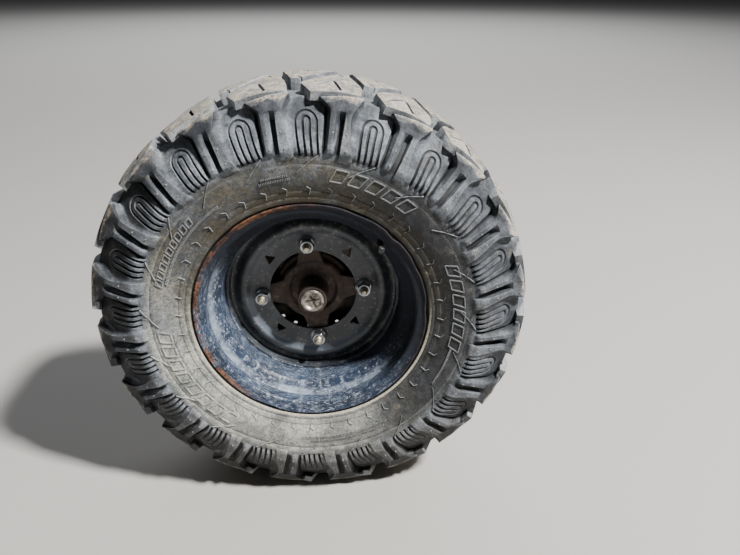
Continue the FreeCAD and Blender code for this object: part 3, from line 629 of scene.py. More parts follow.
@dataclass(frozen=True)
class WheelPaint:
    """Blue-black paint on pressed steel: painted lighter towards the lower left where the light falls,
    scuffed round the axle, dusted, rusted where the sheet is rolled.
    """
    paint: Colour = hexcode("10141b")
    lit_worn_paint: Colour = hexcode("3d4d68")
    dust: Colour = hexcode("a9b5c6")
    rust: Colour = hexcode("6d4b39")
    dark_rust: Colour = hexcode("2c221e")
    edge_radius: float = 0.1588
    ledge: float = -0.1575

    def scuffs(self, make: Finish, low: Socket, cloud: Socket, colour: Socket) -> Socket:
        """Pale scuffs and dust, mostly low in the barrel and on the ledge of its drop centre.

        Args:
            make: the material in the making.
            low: how low the point lies, 0 to 1.
            cloud: the cloudy mask.
            colour: the colour so far.

        Returns:
            The colour with it.
        """
        graph = make.graph
        broad, fine = make.streaks(10.0, 520.0, 0.40), make.streaks(24.0, 1500.0, 0.46)
        thin = graph.most(graph.between(fine, 0.25, 0.80), graph.times(broad, 0.45))
        colour = graph.cover(colour, graph.times(thin, graph.plus(graph.times(low, 0.66), 0.03)), self.dust)
        film = make.speckle(75.0, 1700.0, graph.times(low, 0.36))
        colour = graph.cover(colour, graph.times(film, 0.50), self.dust)
        step = graph.size_of(graph.minus(make.place["Along"], self.ledge))
        ledge = graph.times(graph.between(step, 0.0050, 0.0012), low, cloud, 0.75)
        return graph.cover(colour, ledge, self.dust)

    def rusted(self, make: Finish) -> Socket:
        """Rust on the rolled edge, mostly at the left and not at the very bottom.

        Args:
            make: the material in the making.

        Returns:
            The mask, 0 to 1.
        """
        graph, place = make.graph, make.place
        edge = graph.between(place["Radius"], self.edge_radius, self.edge_radius + 0.0022)
        left = graph.between(place["Across"], 0.03, -0.05, 0.10, 1.0)
        return graph.times(edge, make.cloud(30.0, 7.0, 0.72, 0.36, 0.52), left,
                           graph.between(place["Height"], -0.150, -0.105))

    def build(self, effects: Effects) -> bpy.types.Material:
        """The rim barrel's material.

        Args:
            effects: the shared groups.

        Returns:
            The material.
        """
        make = Finish("scuffed_wheel_paint", effects)
        graph, place = make.graph, make.place
        cloud = make.cloud(20.0, 7.0, 0.72, 0.38, 0.66)
        # Painted light: the paint is lighter towards the lower left, where the light falls into the barrel,
        # and near black at the top and right.
        low = graph.between(graph.plus(place["Height"], graph.times(place["Across"], 0.6)), 0.05, -0.12)
        shade = graph.times(graph.plus(graph.times(cloud, 0.40), 0.20),
                            graph.plus(graph.times(low, 0.9), 0.10))
        colour = self.scuffs(make, low, cloud, graph.mix(shade, self.paint, self.lit_worn_paint))
        rust = self.rusted(make)
        tint = graph.mix(make.cloud(160.0, 5.0, 0.7, 0.38, 0.6), self.dark_rust, self.rust)
        colour = graph.cover(colour, rust, tint)
        rough = graph.most(graph.between(low, 0.0, 0.6, 0.80, 0.40), graph.times(rust, 0.85))
        make.bump(make.grain(120.0, 900.0, 300.0), 0.0006, 0.5)
        return make.settle(Base_Color=colour, Roughness=rough, Specular_IOR_Level=0.3)


@dataclass(frozen=True)
class DiscPaint:
    """Matt black paint on the wheel disc, with specks of blown dust and a painted sheen low on its ridge,
    where the light falls.
    """
    paint: Colour = hexcode("2c3138")
    grey: Colour = hexcode("464c54")
    painted_sheen: Colour = hexcode("69727f")
    dust: Colour = hexcode("a9a59b")
    ridge_end: Pair = (0.110, 0.106)

    def build(self, effects: Effects) -> bpy.types.Material:
        """The wheel disc's material.

        Args:
            effects: the shared groups.

        Returns:
            The material.
        """
        make = Finish("matt_black_paint", effects)
        graph, place = make.graph, make.place
        colour = graph.mix(make.cloud(18.0, 6.0, 0.65, 0.40, 0.68), self.paint, self.grey)
        # Painted highlight: a sheen on the ridge's inner slope at the lower left, where the light reaches the
        # disc.
        low = graph.between(graph.plus(place["Height"], graph.times(place["Across"], 0.4)), -0.02, -0.075)
        slope = graph.times(graph.between(make.facing_out(), -0.12, -0.42), low,
                            graph.between(place["Radius"], *self.ridge_end), 0.9)
        colour = graph.cover(colour, slope, self.painted_sheen)
        grit = make.speckle(60.0, 900.0, 0.34)
        colour = graph.cover(colour, graph.times(grit, 0.5), self.dust)
        stones = graph.add("ShaderNodeTexVoronoi", {"Vector": place["Point"], "Scale": 130.0})
        dots = graph.times(graph.between(stones.outputs["Distance"], 0.17, 0.10), 0.65)
        colour = graph.cover(colour, dots, self.dust)
        make.bump(make.grain(150.0, 1100.0, 500.0), 0.0004, 0.35)
        return make.settle(Base_Color=colour, Roughness=graph.plus(graph.times(grit, 0.4), 0.37))


@dataclass(frozen=True)
class RustyCasting:
    """A rough iron casting, brown with rust and flecked with specks of dust."""
    name: str
    iron: Colour
    rust: Colour
    bright_rust: Colour
    dust: Colour
    dust_amount: float

    def build(self, effects: Effects) -> bpy.types.Material:
        """The casting's material.

        Args:
            effects: the shared groups.

        Returns:
            The material.
        """
        make = Finish(self.name, effects)
        graph = make.graph
        bloom = make.cloud(55.0, 7.0, 0.7, 0.36, 0.62)
        colour = graph.mix(bloom, self.iron, self.rust)
        flare = graph.times(make.cloud(130.0, 5.0, 0.65, 0.52, 0.70), 0.7)
        colour = graph.cover(colour, flare, self.bright_rust)
        grit = graph.times(make.speckle(60.0, 800.0, self.dust_amount), 0.55)
        colour = graph.cover(colour, grit, self.dust)
        make.bump(make.grain(220.0, 1400.0, 650.0), 0.0009, 0.8)
        return make.settle(Base_Color=colour, Roughness=graph.between(bloom, 0.0, 1.0, 0.62, 0.86))


@dataclass(frozen=True)
class BareMetal:
    """Metal that is worn bright in places and dulled with dust or rust in others."""
    name: str
    metal: Colour
    dull: Colour
    stain: Colour
    stain_amount: float
    smooth: float
    turned: float = 0.0

    def build(self, effects: Effects) -> bpy.types.Material:
        """The metal's material.

        Args:
            effects: the shared groups.

        Returns:
            The material.
        """
        make = Finish(self.name, effects)
        graph = make.graph
        cloud = make.cloud(70.0, 5.0, 0.6, 0.38, 0.66)
        grit = make.speckle(80.0, 900.0, self.stain_amount)
        colour = graph.cover(graph.mix(cloud, self.metal, self.dull), grit, self.stain)
        height = make.grain(260.0, 1600.0, 800.0)
        if self.turned:
            across = graph.times(make.place["Radius"], 2200.0)
            across = graph.add("ShaderNodeCombineXYZ", {0: across}).outputs[0]
            rings = graph.times(graph.noise(across, 1.0, 2.0), self.turned)
            height = graph.plus(graph.times(height, 0.4), rings)
        make.bump(height, 0.0004, 0.5)
        rough = graph.between(graph.plus(graph.times(cloud, 0.3), grit), 0.0, 1.0, self.smooth, 0.85)
        metal = graph.between(grit, 0.0, 0.8, 0.9, 0.1)
        return make.settle(Base_Color=colour, Metallic=metal, Roughness=rough)


@dataclass(frozen=True)
class PlainRubber:
    """Black moulded rubber under a thin film of dust."""
    rubber: Colour = hexcode("1b1c1e")
    dust: Colour = hexcode("6f6a60")

    def build(self, effects: Effects) -> bpy.types.Material:
        """The seals' and valve's material.

        Args:
            effects: the shared groups.

        Returns:
            The material.
        """
        make = Finish("plain_rubber", effects)
        graph = make.graph
        grit = make.speckle(90.0, 900.0, 0.35)
        colour = graph.mix(graph.times(grit, 0.6), self.rubber, self.dust)
        make.bump(make.grain(200.0, 1500.0, 700.0), 0.0003, 0.4)
        return make.settle(Base_Color=colour, Roughness=graph.between(grit, 0.0, 1.0, 0.5, 0.85))


class Palette:
    """Every finish of the wheel, built once."""

    CASTINGS = (
        # Attribute, name, iron, rust, bright rust, dust, how much dust.
        ("casting", "rusty_casting", "2b2726", "4e4038", "5e4a3c", "857f78", 0.35),
        ("caliper", "dusty_black_casting", "1f2022", "34302c", "5b4636", "8b8375", 0.40),
        ("lining", "brake_lining", "1c1a19", "2b2522", "4c3a2d", "7d756a", 0.30))
    METALS = (
        # Attribute, name, metal, dull, stain, how much stain, smoothest roughness, turning marks.
        ("zinc", "dusty_zinc", "b9bdc2", "83878c", "8f8675", 0.30, 0.30, 0.0),
        ("rotor", "brake_steel", "4d4a47", "34302d", "32261e", 0.40, 0.34, 1.0),
        ("axle", "oiled_steel", "77767a", "46434a", "3c2c20", 0.40, 0.30, 0.5),
        ("bearing", "ground_steel", "b4b5b8", "8d8e92", "5d554a", 0.10, 0.18, 0.7),
        ("cap", "dulled_plating", "b8b3ab", "66605a", "332a24", 0.50, 0.42, 0.0),
        ("stud", "dusty_stud_steel", "cfc6b2", "a1998a", "8f8675", 0.38, 0.45, 0.0),
        ("cast_metal", "cast_light_metal", "8b8d90", "6c6e71", "6e6455", 0.42, 0.50, 0.0))

    def __init__(self) -> None:
        """Build the shared groups and then the materials."""
        effects = Effects()
        self.rubber = DustyRubber().build(effects)
        self.paint = WheelPaint().build(effects)
        self.disc = DiscPaint().build(effects)
        self.plain_rubber = PlainRubber().build(effects)
        for label, name, *codes, amount in self.CASTINGS:
            setattr(self, label, RustyCasting(name, *map(hexcode, codes), amount).build(effects))
        for label, name, metal, dull, stain, *finish in self.METALS:
            shades = map(hexcode, (metal, dull, stain))
            setattr(self, label, BareMetal(name, *shades, *finish).build(effects))


# Meshes


@contextmanager
def editing(mesh: bpy.types.Mesh) -> Iterator[bmesh.types.BMesh]:
    """A mesh's editable form, written back when the block ends.

    Args:
        mesh: the mesh.

    Returns:
        Its editable form, for the block.
    """
    work = bmesh.new()
    work.from_mesh(mesh)
    yield work
    work.to_mesh(mesh)
    work.free()


def mesh_of(name: str, work: bmesh.types.BMesh) -> bpy.types.Mesh:
    """The mesh of an editable form, with its normals turned outwards; the form is freed.

    Args:
        name: the mesh's name.
        work: the editable form.

    Returns:
        The mesh.
    """
    mesh = bpy.data.meshes.new(name)
    bmesh.ops.recalc_face_normals(work, faces=work.faces)
    work.to_mesh(mesh)
    work.free()
    return mesh


def linked(name: str, data: object) -> bpy.types.Object:
    """A new object of the scene, from its data.

    Args:
        name: the object's name.
        data: its mesh, light or camera.

    Returns:
        The object.
    """
    made = bpy.data.objects.new(name, data)
    bpy.context.scene.collection.objects.link(made)
    return made


def coat(mesh: bpy.types.Mesh, material: bpy.types.Material) -> None:
    """Give a mesh one material."""
    mesh.materials.clear()
    mesh.materials.append(material)


def new_mesh(name: str, points: Sequence, faces: Sequence, merge: float = 0.0) -> bpy.types.Mesh:
    """A mesh from points in metres, with its normals turned outwards.

    Args:
        name: the mesh's name.
        points: the corners.
        faces: the corner numbers of each face.
        merge: distance within which corners are joined, 0 for none.

    Returns:
        The mesh.
    """
    mesh = bpy.data.meshes.new(name)
    mesh.from_pydata([tuple(point) for point in points], [], [tuple(face) for face in faces])
    with editing(mesh) as work:
        if merge:
            bmesh.ops.remove_doubles(work, verts=work.verts, dist=merge)
        bmesh.ops.recalc_face_normals(work, faces=work.faces)
    return mesh


def rounded(corners: Sequence[tuple[float, float, float]], closed: bool = True, steps: int = 4) -> list[Pair]:
    """An outline with its corners rounded.

    Args:
        corners: radius, Y and rounding of each corner in mm; 0 keeps a corner sharp.
        closed: whether the last corner joins the first.
        steps: points along each rounding.

    Returns:
        The outline's points.
    """
    points: list[Pair] = []
    count = len(corners)
    for index, (across, along, rounding) in enumerate(corners):
        here = Vector((across, along))
        if not rounding or (not closed and index in (0, count - 1)):
            points.append((across, along))
            continue
        before = Vector(corners[index - 1][:2]) - here
        after = Vector(corners[(index + 1) % count][:2]) - here
        reach = min(rounding, before.length * 0.49, after.length * 0.49)
        start, end = here + before.normalized() * reach, here + after.normalized() * reach
        for step in range(steps + 1):
            share = step / steps
            point = start * (1 - share) ** 2 + here * 2 * share * (1 - share) + end * share ** 2
            points.append((point.x, point.y))
    return points


def revolved(name: str, outline: Sequence[Pair], steps: int,
             shift: Optional[Callable[[float, float, float], tuple[float, float]]] = None) -> bpy.types.Mesh:
    """A closed outline turned about the axle.

    Args:
        name: the mesh's name.
        outline: radius and Y of each point in mm.
        steps: how many columns go round.
        shift: gives the change in radius and Y at a radius, Y and angle, for dents.

    Returns:
        The closed mesh.
    """
    points, faces, count = [], [], len(outline)
    for column in range(steps):
        angle = 360.0 * column / steps
        for radius, along in outline:
            more, over = shift(radius, along, angle) if shift else (0.0, 0.0)
            points.append(on_wheel(radius + more if radius > 0 else 0.0, angle, along + over))
    for column in range(steps):
        here, there = column * count, (column + 1) % steps * count
        for row in range(count):
            after = (row + 1) % count
            if outline[row][0] <= 0 and outline[after][0] <= 0:
                continue
            faces.append((here + row, there + row, there + after, here + after))
    return new_mesh(name, points, faces, 1e-6)


def new_piece(name: str, mesh: bpy.types.Mesh, material: bpy.types.Material,
              sharp: float = 35.0) -> bpy.types.Object:
    """A shown object from a mesh, shaded smooth up to an angle.

    Args:
        name: the piece's name.
        mesh: its mesh.
        material: its finish.
        sharp: angle past which edges stay sharp, in degrees.

    Returns:
        The piece.
    """
    coat(mesh, material)
    shade(mesh, sharp)
    return linked(name, mesh)


def shade(mesh: bpy.types.Mesh, sharp: float) -> None:
    """Shade a mesh smooth, with its edges sharp past an angle in degrees."""
    mesh.shade_smooth()
    mesh.set_sharp_from_angle(angle=math.radians(sharp))


def settled(piece: bpy.types.Object, sharp: float = 35.0) -> bpy.types.Object:
    """Turn an object's modifiers into its plain mesh.

    Args:
        piece: the object with its modifiers.
        sharp: angle past which edges stay sharp, in degrees.

    Returns:
        The same object, with no modifiers left.
    """
    bpy.context.view_layer.update()
    graph = bpy.context.evaluated_depsgraph_get()
    mesh = bpy.data.meshes.new_from_object(piece.evaluated_get(graph), preserve_all_data_layers=True,
                                           depsgraph=graph)
    piece.modifiers.clear()
    piece.data = mesh
    shade(mesh, sharp)
    return piece


def cut_by(piece: bpy.types.Object, tools: Sequence[bpy.types.Object]) -> None:
    """Add a cut to a piece for each tool, to be settled before the tools go.

    Args:
        piece: what is cut.
        tools: the cutting solids.
    """
    for tool in tools:
        cut = piece.modifiers.new("cut", "BOOLEAN")
        cut.object, cut.operation, cut.solver = tool, "DIFFERENCE", "EXACT"


def discard(tools: Sequence[bpy.types.Object]) -> None:
    """Take used tools out of the scene."""
    for tool in tools:
        bpy.data.objects.remove(tool)


class RingTree:
    """The Geometry Nodes tree that repeats a mesh round the axle."""

    INPUTS = (("Count", "NodeSocketInt", 4), ("Start", "NodeSocketFloat", 0.0),
              ("Merge", "NodeSocketFloat", 0.0), ("Unevenness", "NodeSocketFloat", 0.0),
              ("Seed", "NodeSocketFloat", 3.0))

    def __init__(self) -> None:
        """Build the tree with its named inputs."""
        tree = bpy.data.node_groups.new("ring repeat", "GeometryNodeTree")
        tree.interface.new_socket("Geometry", in_out="INPUT", socket_type="NodeSocketGeometry")
        for name, kind, value in self.INPUTS:
            tree.interface.new_socket(name, in_out="INPUT", socket_type=kind).default_value = value
        tree.interface.new_socket("Material", in_out="INPUT", socket_type="NodeSocketMaterial")
        tree.interface.new_socket("Geometry", in_out="OUTPUT", socket_type="NodeSocketGeometry")
        graph = Graph(tree)
        put = graph.add("NodeGroupInput").outputs
        spots = graph.add("GeometryNodePoints", {"Count": put["Count"]})
        share = graph.math("DIVIDE", graph.add("GeometryNodeInputIndex").outputs[0], put["Count"])
        turn = graph.plus(put["Start"], graph.times(share, 2 * math.pi))
        euler = graph.add("ShaderNodeCombineXYZ", {1: turn})
        rotation = graph.add("FunctionNodeEulerToRotation", {0: euler.outputs[0]})
        copies = graph.add("GeometryNodeInstanceOnPoints", {
            "Points": spots.outputs[0], "Instance": put["Geometry"], "Rotation": rotation.outputs[0]})
        real = graph.add("GeometryNodeRealizeInstances", {0: copies.outputs[0]})
        joined = graph.add("GeometryNodeMergeByDistance", {
            "Geometry": real.outputs[0], "Distance": put["Merge"]})
        noise = graph.add("ShaderNodeTexNoise", {"W": put["Seed"], "Scale": 22.0, "Detail": 2.0},
                          noise_dimensions="4D")
        centred = graph.add("ShaderNodeVectorMath", {0: noise.outputs["Color"], 1: (0.5, 0.5, 0.5)},
                            operation="SUBTRACT")
        offset = graph.add("ShaderNodeVectorMath", {0: centred.outputs[0]}, operation="SCALE")
        graph.feed(offset.inputs["Scale"], put["Unevenness"])
        moved = graph.add("GeometryNodeSetPosition", {
            "Geometry": joined.outputs[0], "Offset": offset.outputs[0]})
        dressed = graph.add("GeometryNodeSetMaterial", {
            "Geometry": moved.outputs[0], "Material": put["Material"]})
        graph.feed(graph.add("NodeGroupOutput").inputs[0], dressed.outputs[0])
        self.tree = tree

    def repeat(self, piece: bpy.types.Object, count: int, start: float = 0.0, merge: float = 0.0,
               unevenness: float = 0.0, seed: float = 3.0, sharp: float = 35.0) -> bpy.types.Object:
        """Repeat a piece round the axle and make the result its plain mesh.

        Args:
            piece: the object whose mesh is repeated.
            count: how many copies go round.
            start: the first copy's angle in degrees clockwise.
            merge: distance in metres within which neighbours are joined.
            unevenness: how far corners stray, in metres.
            seed: picks the straying.
            sharp: angle past which edges stay sharp, in degrees.

        Returns:
            The same object with its new mesh.
        """
        modifier = piece.modifiers.new("ring repeat", "NODES")
        modifier.node_group = self.tree
        values = {"Count": count, "Start": math.radians(start), "Merge": merge, "Unevenness": unevenness,
                  "Seed": seed, "Material": piece.data.materials[0]}
        for item in self.tree.interface.items_tree:
            if item.in_out == "INPUT" and item.name in values:
                modifier[item.identifier] = values[item.name]
        return settled(piece, sharp)


# Tyre


@dataclass
class Shoulder:
    """One row of shoulder lugs and the domed panels between them, as one pitch that is repeated round."""
    pitch: float = 18.0
    middle: float = -78.0
    slot: float = 0.76
    ramp_end: float = 5.2
    free_edge: float = 13.25
    notch: float = 6.8
    notch_middle: float = -0.45
    notch_half: float = 2.1
    horn_start: float = 2.3
    horn_width: float = 2.2
    horn_depth: float = 9.5
    tread_angles: Pair = (-5.8, 4.5)
    tread_ends: Pair = (6.8, 16.6)
    corner_foot: float = 287.5
    corner_rise: float = 12.7
    blunt: float = 0.8
    lean: float = 0.85
    ramp_gap: float = 0.06
    ramp_top: float = 0.84
    ramp_shares: tuple = (0.0, 0.1, 0.24, 0.4, 0.58, 0.78, 1.0)
    panel_shares: tuple = (0.1, 0.2, 0.3, 0.4, 0.5, 0.6, 0.7, 0.79, 0.87, 0.94, 1.0)
    rows: tuple = (
        # Void floor: distance from the middle plane, radius. Bars' face: the same two, but on the tread face
        # the share of the way in and the drop. Height shares of the slot's floor, the first bar and the
        # panel. Anticlockwise and clockwise edge of the lug, degrees from the slot.
        (116.4, 222.0, 116.4, 222.0, 0.00, 0.00, 0.00, -3.1, 4.9),
        (118.4, 226.0, 118.4, 226.0, 0.00, 0.00, 0.00, -3.1, 4.9),
        (118.8, 230.4, 118.8, 230.4, 0.00, 0.00, 0.00, -3.1, 4.9),
        (118.8, 231.8, 120.6, 232.0, 0.00, 0.00, 0.00, -3.1, 4.85),
        (118.7, 234.6, 122.0, 235.2, 0.04, 0.00, 0.00, -3.1, 4.75),
        (118.5, 236.8, 122.6, 237.8, 0.10, 0.10, 0.20, -3.1, 4.65),
        (118.2, 238.2, 123.0, 239.6, 0.12, 0.72, 0.78, -3.0, 4.55),
        (117.7, 240.4, 123.4, 242.2, 0.12, 0.94, 0.84, -3.0, 4.40),
        (116.6, 243.6, 123.6, 245.4, 0.12, 1.00, 0.84, -3.0, 4.20),
        (115.0, 248.0, 122.5, 249.8, 0.12, 1.00, 0.82, -3.0, 3.95),
        (112.3, 253.0, 120.4, 255.0, 0.12, 1.00, 0.75, -3.0, 3.65),
        (109.0, 258.0, 118.1, 260.4, 0.12, 1.00, 0.67, -3.0, 3.35),
        (105.6, 263.0, 115.7, 265.8, 0.12, 1.00, 0.60, -3.0, 3.05),
        (102.2, 268.0, 113.3, 271.2, 0.14, 1.00, 0.53, -3.0, 2.75),
        (98.8, 273.0, 110.8, 276.6, 0.16, 1.00, 0.47, -3.0, 2.55),
        (95.4, 278.0, 108.2, 281.6, 0.22, 1.00, 0.41, -3.0, 2.45),
        (92.4, 283.0, 105.8, 286.2, 0.50, 1.00, 0.35, -3.0, 2.45),
        (90.2, 287.5, 104.0, 290.2, 0.96, 1.00, 0.28, -3.05, 2.60),
        (88.6, 291.5, 102.6, 294.0, 1.00, 1.00, 0.21, -3.35, 2.95),
        (87.4, 294.8, 101.8, 297.0, 1.00, 1.00, 0.14, -3.95, 3.55),
        (86.6, 297.2, 101.4, 299.1, 1.00, 1.00, 0.08, -4.45, 4.15),
        (86.0, 299.0, 101.2, 300.2, 1.00, 1.00, 0.04, -4.65, 4.35),
        (85.3, 300.4, 0.04, 0.0, 1.00, 1.00, 0.02, -4.75, 4.45),
        (84.9, 301.4, 0.33, 0.0, 1.00, 1.00, 0.00, -5.15, 4.50),
        (84.2, 302.1, 0.66, 0.0, 1.00, 1.00, 0.00, -5.55, 4.50),
        (83.6, 302.6, 0.94, 0.0, 1.00, 1.00, 0.00, -5.80, 4.50),
        (83.0, 303.0, 1.00, 0.8, 1.00, 1.00, 0.00, -5.85, 4.50),
        (82.4, 303.2, 1.00, 6.6, 1.00, 1.00, 0.00, -5.95, 4.60),
        (80.0, 303.2, 80.0, 303.2, 1.00, 0.00, 0.00, -5.95, 4.60),
        (77.5, 300.5, 77.5, 300.5, 1.00, 0.00, 0.00, -5.95, 4.60),
        (85.0, 290.0, 85.0, 290.0, 1.00, 0.00, 0.00, -3.0, 3.0),
        (101.5, 262.0, 101.5, 262.0, 1.00, 0.00, 0.00, -3.0, 3.0),
        (111.0, 234.0, 111.0, 234.0, 0.00, 0.00, 0.00, -3.0, 3.0))
    corner_row: int = 21
    tread_end: int = 27
    tread: tuple = (
        # Way in from the lug's corner, distance from the middle plane, radius.
        (0.0, 101.2, 300.2), (7.2, 97.0, 306.0), (11.8, 93.5, 309.0), (17.0, 88.5, 310.6))
    grooves: tuple = (
        # Half the distance between a groove's legs, top of its arch (radius).
        (4.2, 281.0), (13.0, 287.5))
    groove_foot: float = 234.6
    groove_turn: float = 8.8
    groove_middle: float = 262.0
    groove_leans: Pair = (0.030, 0.012)
    groove_sides: tuple = (
        # Share of the half width and height above the panel, down to the floor's edge.
        (2.4, 0.9), (1.75, -0.3))
    groove_bed: float = 0.5
    groove_cut: tuple = (
        # Radius, half width, depth.
        (240.0, 1.35, 4.4), (262.0, 1.1, 3.3), (287.0, 0.85, 1.9))

    def __post_init__(self) -> None:
        """Turn the tables into arrays to interpolate in."""
        self.table = np.array(self.rows)
        self.slope = np.array(self.tread)

    def tread_point(self, travel: float) -> np.ndarray:
        """Distance from the middle plane and radius on the lug's tread face, some mm in from its corner."""
        return np.array([np.interp(travel, self.slope[:, 0], self.slope[:, index]) for index in (1, 2)])

    def tread_span(self, angle: float) -> Pair:
        """Where the lug's tread face starts and ends at an angle, in mm in from its corner.

        Args:
            angle: degrees clockwise from the slot's middle.

        Returns:
            The start and the end.
        """
        start = self.notch * max(0.0, 1.0 - abs(angle - self.notch_middle) / self.notch_half)
        horn = min(max((angle - self.horn_start) / self.horn_width, 0.0), 1.0)
        start += self.horn_depth * horn * horn * (3 - 2 * horn)
        end = float(np.interp(angle, self.tread_angles, self.tread_ends))
        return start, max(end, start + 1.0)

    def lug_point(self, row: int, angle: float) -> np.ndarray:
        """Distance from the middle plane and radius of a lug's surface in a row, at an angle.

        Args:
            row: number in the table.
            angle: degrees clockwise from the slot's middle.

        Returns:
            Distance and radius, in mm.
        """
        start, end = self.tread_span(angle)
        if self.corner_row < row <= self.tread_end:
            share, drop = self.rows[row][2:4]
            place = self.tread_point(start + (end - start) * share)
            return place - np.array([min(drop, self.blunt), drop])
        place = self.table[row][2:4]
        if row <= self.corner_row:
            share = min(max((place[1] - self.corner_foot) / self.corner_rise, 0.0), 1.0)
            place = place + (self.tread_point(start) - self.tread_point(0.0)) * share
        return place

    def columns(self, row: int) -> list[Pair]:
        """Angle and height share of each column of one pitch, from one slot's middle to the next.

        Args:
            row: number in the table.

        Returns:
            Angle and height share, 0 for the void's floor and 1 for the bars' face.
        """
        slot_floor, first, panel, left, right = self.rows[row][4:]
        left += self.pitch
        second = 1.0 if 2 < row <= self.tread_end else 0.0
        free = min(self.free_edge, left - 1.75)
        slot, far, floor = self.slot, self.pitch - self.slot, slot_floor * second
        other = min(slot_floor, first) if row <= self.tread_end else 0.0
        wall = floor + (second - floor) * 0.9
        line = [(0.0, (floor + other) / 2), (slot * 0.8, floor), (slot, wall), (slot + 0.15, second),
                ((slot + right) / 2, second), (right - 0.10, second)]
        line += self.ramp(row, right + self.ramp_gap, self.ramp_top * second, panel)
        line += [(self.ramp_end + (free - self.ramp_end) * share, panel * self.dome(share))
                 for share in self.panel_shares]
        edge = far - self.lean
        line += [(free + 0.2, panel * 0.3), (free + 0.36, 0.0), (left - 1.05, 0.0),
                 (left - 0.16, first * 0.88), (left, first * 0.97), (left + 0.2, first),
                 ((left + edge) / 2, first), (edge - 0.1, first),
                 (edge + 0.05, other + (first - other) * 0.95),
                 (self.pitch - slot * 0.7, other), (self.pitch, (floor + other) / 2)]
        return line

    def ramp(self, row: int, start: float, top: float, panel: float) -> list[Pair]:
        """Angle and height share down the ramp between the second bar and the panel.

        Args:
            row: number in the table.
            start: angle of its top.
            top: height share of its top.
            panel: height share of the panel.

        Returns:
            Angle and height share of each column.
        """
        rest = panel * self.dome(0.0)
        power = 3.0 if row > self.corner_row else 1.9
        return [(start + (self.ramp_end - start) * share, rest + (top - rest) * (1 - share) ** power)
                for share in self.ramp_shares]

    @staticmethod
    def dome(share: float) -> float:
        """Height of the panel from its ramp (0) to its free edge (1), against its middle's."""
        places, heights = (0.0, 0.2, 0.5, 0.8, 0.9, 0.96, 1.0), (0.86, 0.95, 1.0, 0.95, 0.9, 0.82, 0.66)
        return float(np.interp(share, places, heights))

    def spot(self, row: int, angle: float, height: float) -> np.ndarray:
        """Distance from the middle plane and radius of a point of the strip.

        Args:
            row: number in the table.
            angle: degrees clockwise from the first slot's middle.
            height: share from the void's floor to the bars' face.

        Returns:
            Distance and radius, in mm.
        """
        base = self.table[row][:2]
        near = angle if angle < self.pitch * 0.55 else angle - self.pitch
        return base + (self.lug_point(row, near) - base) * height

    def panel_line(self, angle: float) -> np.ndarray:
        """The panel's section at an angle: distance from the middle plane and radius of each row.

        Args:
            angle: degrees clockwise from the slot's middle.

        Returns:
            Distance and radius, in mm.
        """
        places = []
        for row in range(5, self.corner_row):
            angles, heights = zip(*self.columns(row))
            places.append(self.spot(row, angle, float(np.interp(angle, angles, heights))))
        return np.array(places)

    def surface(self, angle: float, radius: float, extra: float) -> Vector:
        """A point above the panel.

        Args:
            angle: degrees clockwise from the slot's middle.
            radius: the point's radius on the panel, in mm.
            extra: height above the panel, in mm.

        Returns:
            The point, in metres.
        """
        line = self.panel_line(angle)
        here, before, after = (float(np.interp(value, line[:, 1], line[:, 0]))
                               for value in (radius, radius - 2, radius + 2))
        out = Vector((4.0, before - after)).normalized()
        return Vector(on_wheel(radius + out.y * extra, angle, self.middle - here - out.x * extra))

    def strip(self) -> bpy.types.Object:
        """One pitch of the strip, closed at both ends, with its grooves cut.

        Returns:
            The pitch, not yet a piece.
        """
        points, across, rows = [], len(self.columns(0)), len(self.rows)
        for row in range(rows):
            for angle, height in self.columns(row):
                away, radius = self.spot(row, angle, height)
                points.append(on_wheel(radius, angle, self.middle - away))
        faces = [tuple(row * across for row in range(rows)),
                 tuple(row * across + across - 1 for row in reversed(range(rows)))]
        for row in range(rows):
            for column in range(across - 1):
                here, above = row * across + column, (row + 1) % rows * across + column
                faces.append((here, here + 1, above + 1, above))
        piece = linked("strip", new_mesh("shoulder", points, faces))
        tools = [self.groove(*row) for row in self.grooves]
        cut_by(piece, tools)
        settled(piece)
        discard(tools)
        return piece

    def groove(self, legs: float, top: float) -> bpy.types.Object:
        """The solid that cuts one arched groove, deeper and wider towards its feet.

        Args:
            legs: half the distance between its legs, in mm.
            top: radius of its arch's top, in mm.

        Returns:
            The cutting solid.
        """
        foot, spring = self.groove_foot, top - legs
        radii, widths, depths = zip(*self.groove_cut)
        rise = [foot + (spring - foot) * step / 8 for step in range(8)]
        path = [(-legs, radius) for radius in rise]
        path += [(-legs * math.cos(math.pi * step / 16), spring + legs * math.sin(math.pi * step / 16))
                 for step in range(17)]
        path += [(legs, radius) for radius in reversed(rise)]
        points, faces = [], []
        last = len(path) - 1
        for index, (over, radius) in enumerate(path):
            before, after = path[max(index - 1, 0)], path[min(index + 1, last)]
            along = Vector((after[0] - before[0], after[1] - before[1])).normalized()
            wide, deep = (float(np.interp(radius, radii, values)) for values in (widths, depths))
            half = (*self.groove_sides, (self.groove_bed, -deep))
            for share, lift in (*((-share, lift) for share, lift in half), *reversed(half)):
                place, height = over + along.y * share * wide, radius - along.x * share * wide
                below = self.groove_middle - height
                angle = self.groove_turn + below * self.groove_leans[0 if below > 0 else 1]
                points.append(self.surface(angle + math.degrees(place / self.groove_middle), height, lift))
        for index in range(last):
            for corner in range(6):
                here, other = index * 6 + corner, index * 6 + (corner + 1) % 6
                faces.append((here, other, other + 6, here + 6))
        faces += [tuple(range(5, -1, -1)), tuple(range(last * 6, last * 6 + 6))]
        return linked("groove_cutter", new_mesh("groove_cutter", points, faces))

    def open_ends(self, mesh: bpy.types.Mesh) -> None:
        """Take the end faces off, so that neighbouring pitches join.

        Args:
            mesh: the pitch's mesh.
        """
        with editing(mesh) as work:
            ends = []
            for face in work.faces:
                turns = [math.degrees(math.atan2(corner.co.x, corner.co.z)) for corner in face.verts]
                if max(turns) < 0.001 or min(turns) > self.pitch - 0.001:
                    ends.append(face)
            bmesh.ops.delete(work, geom=ends, context="FACES")


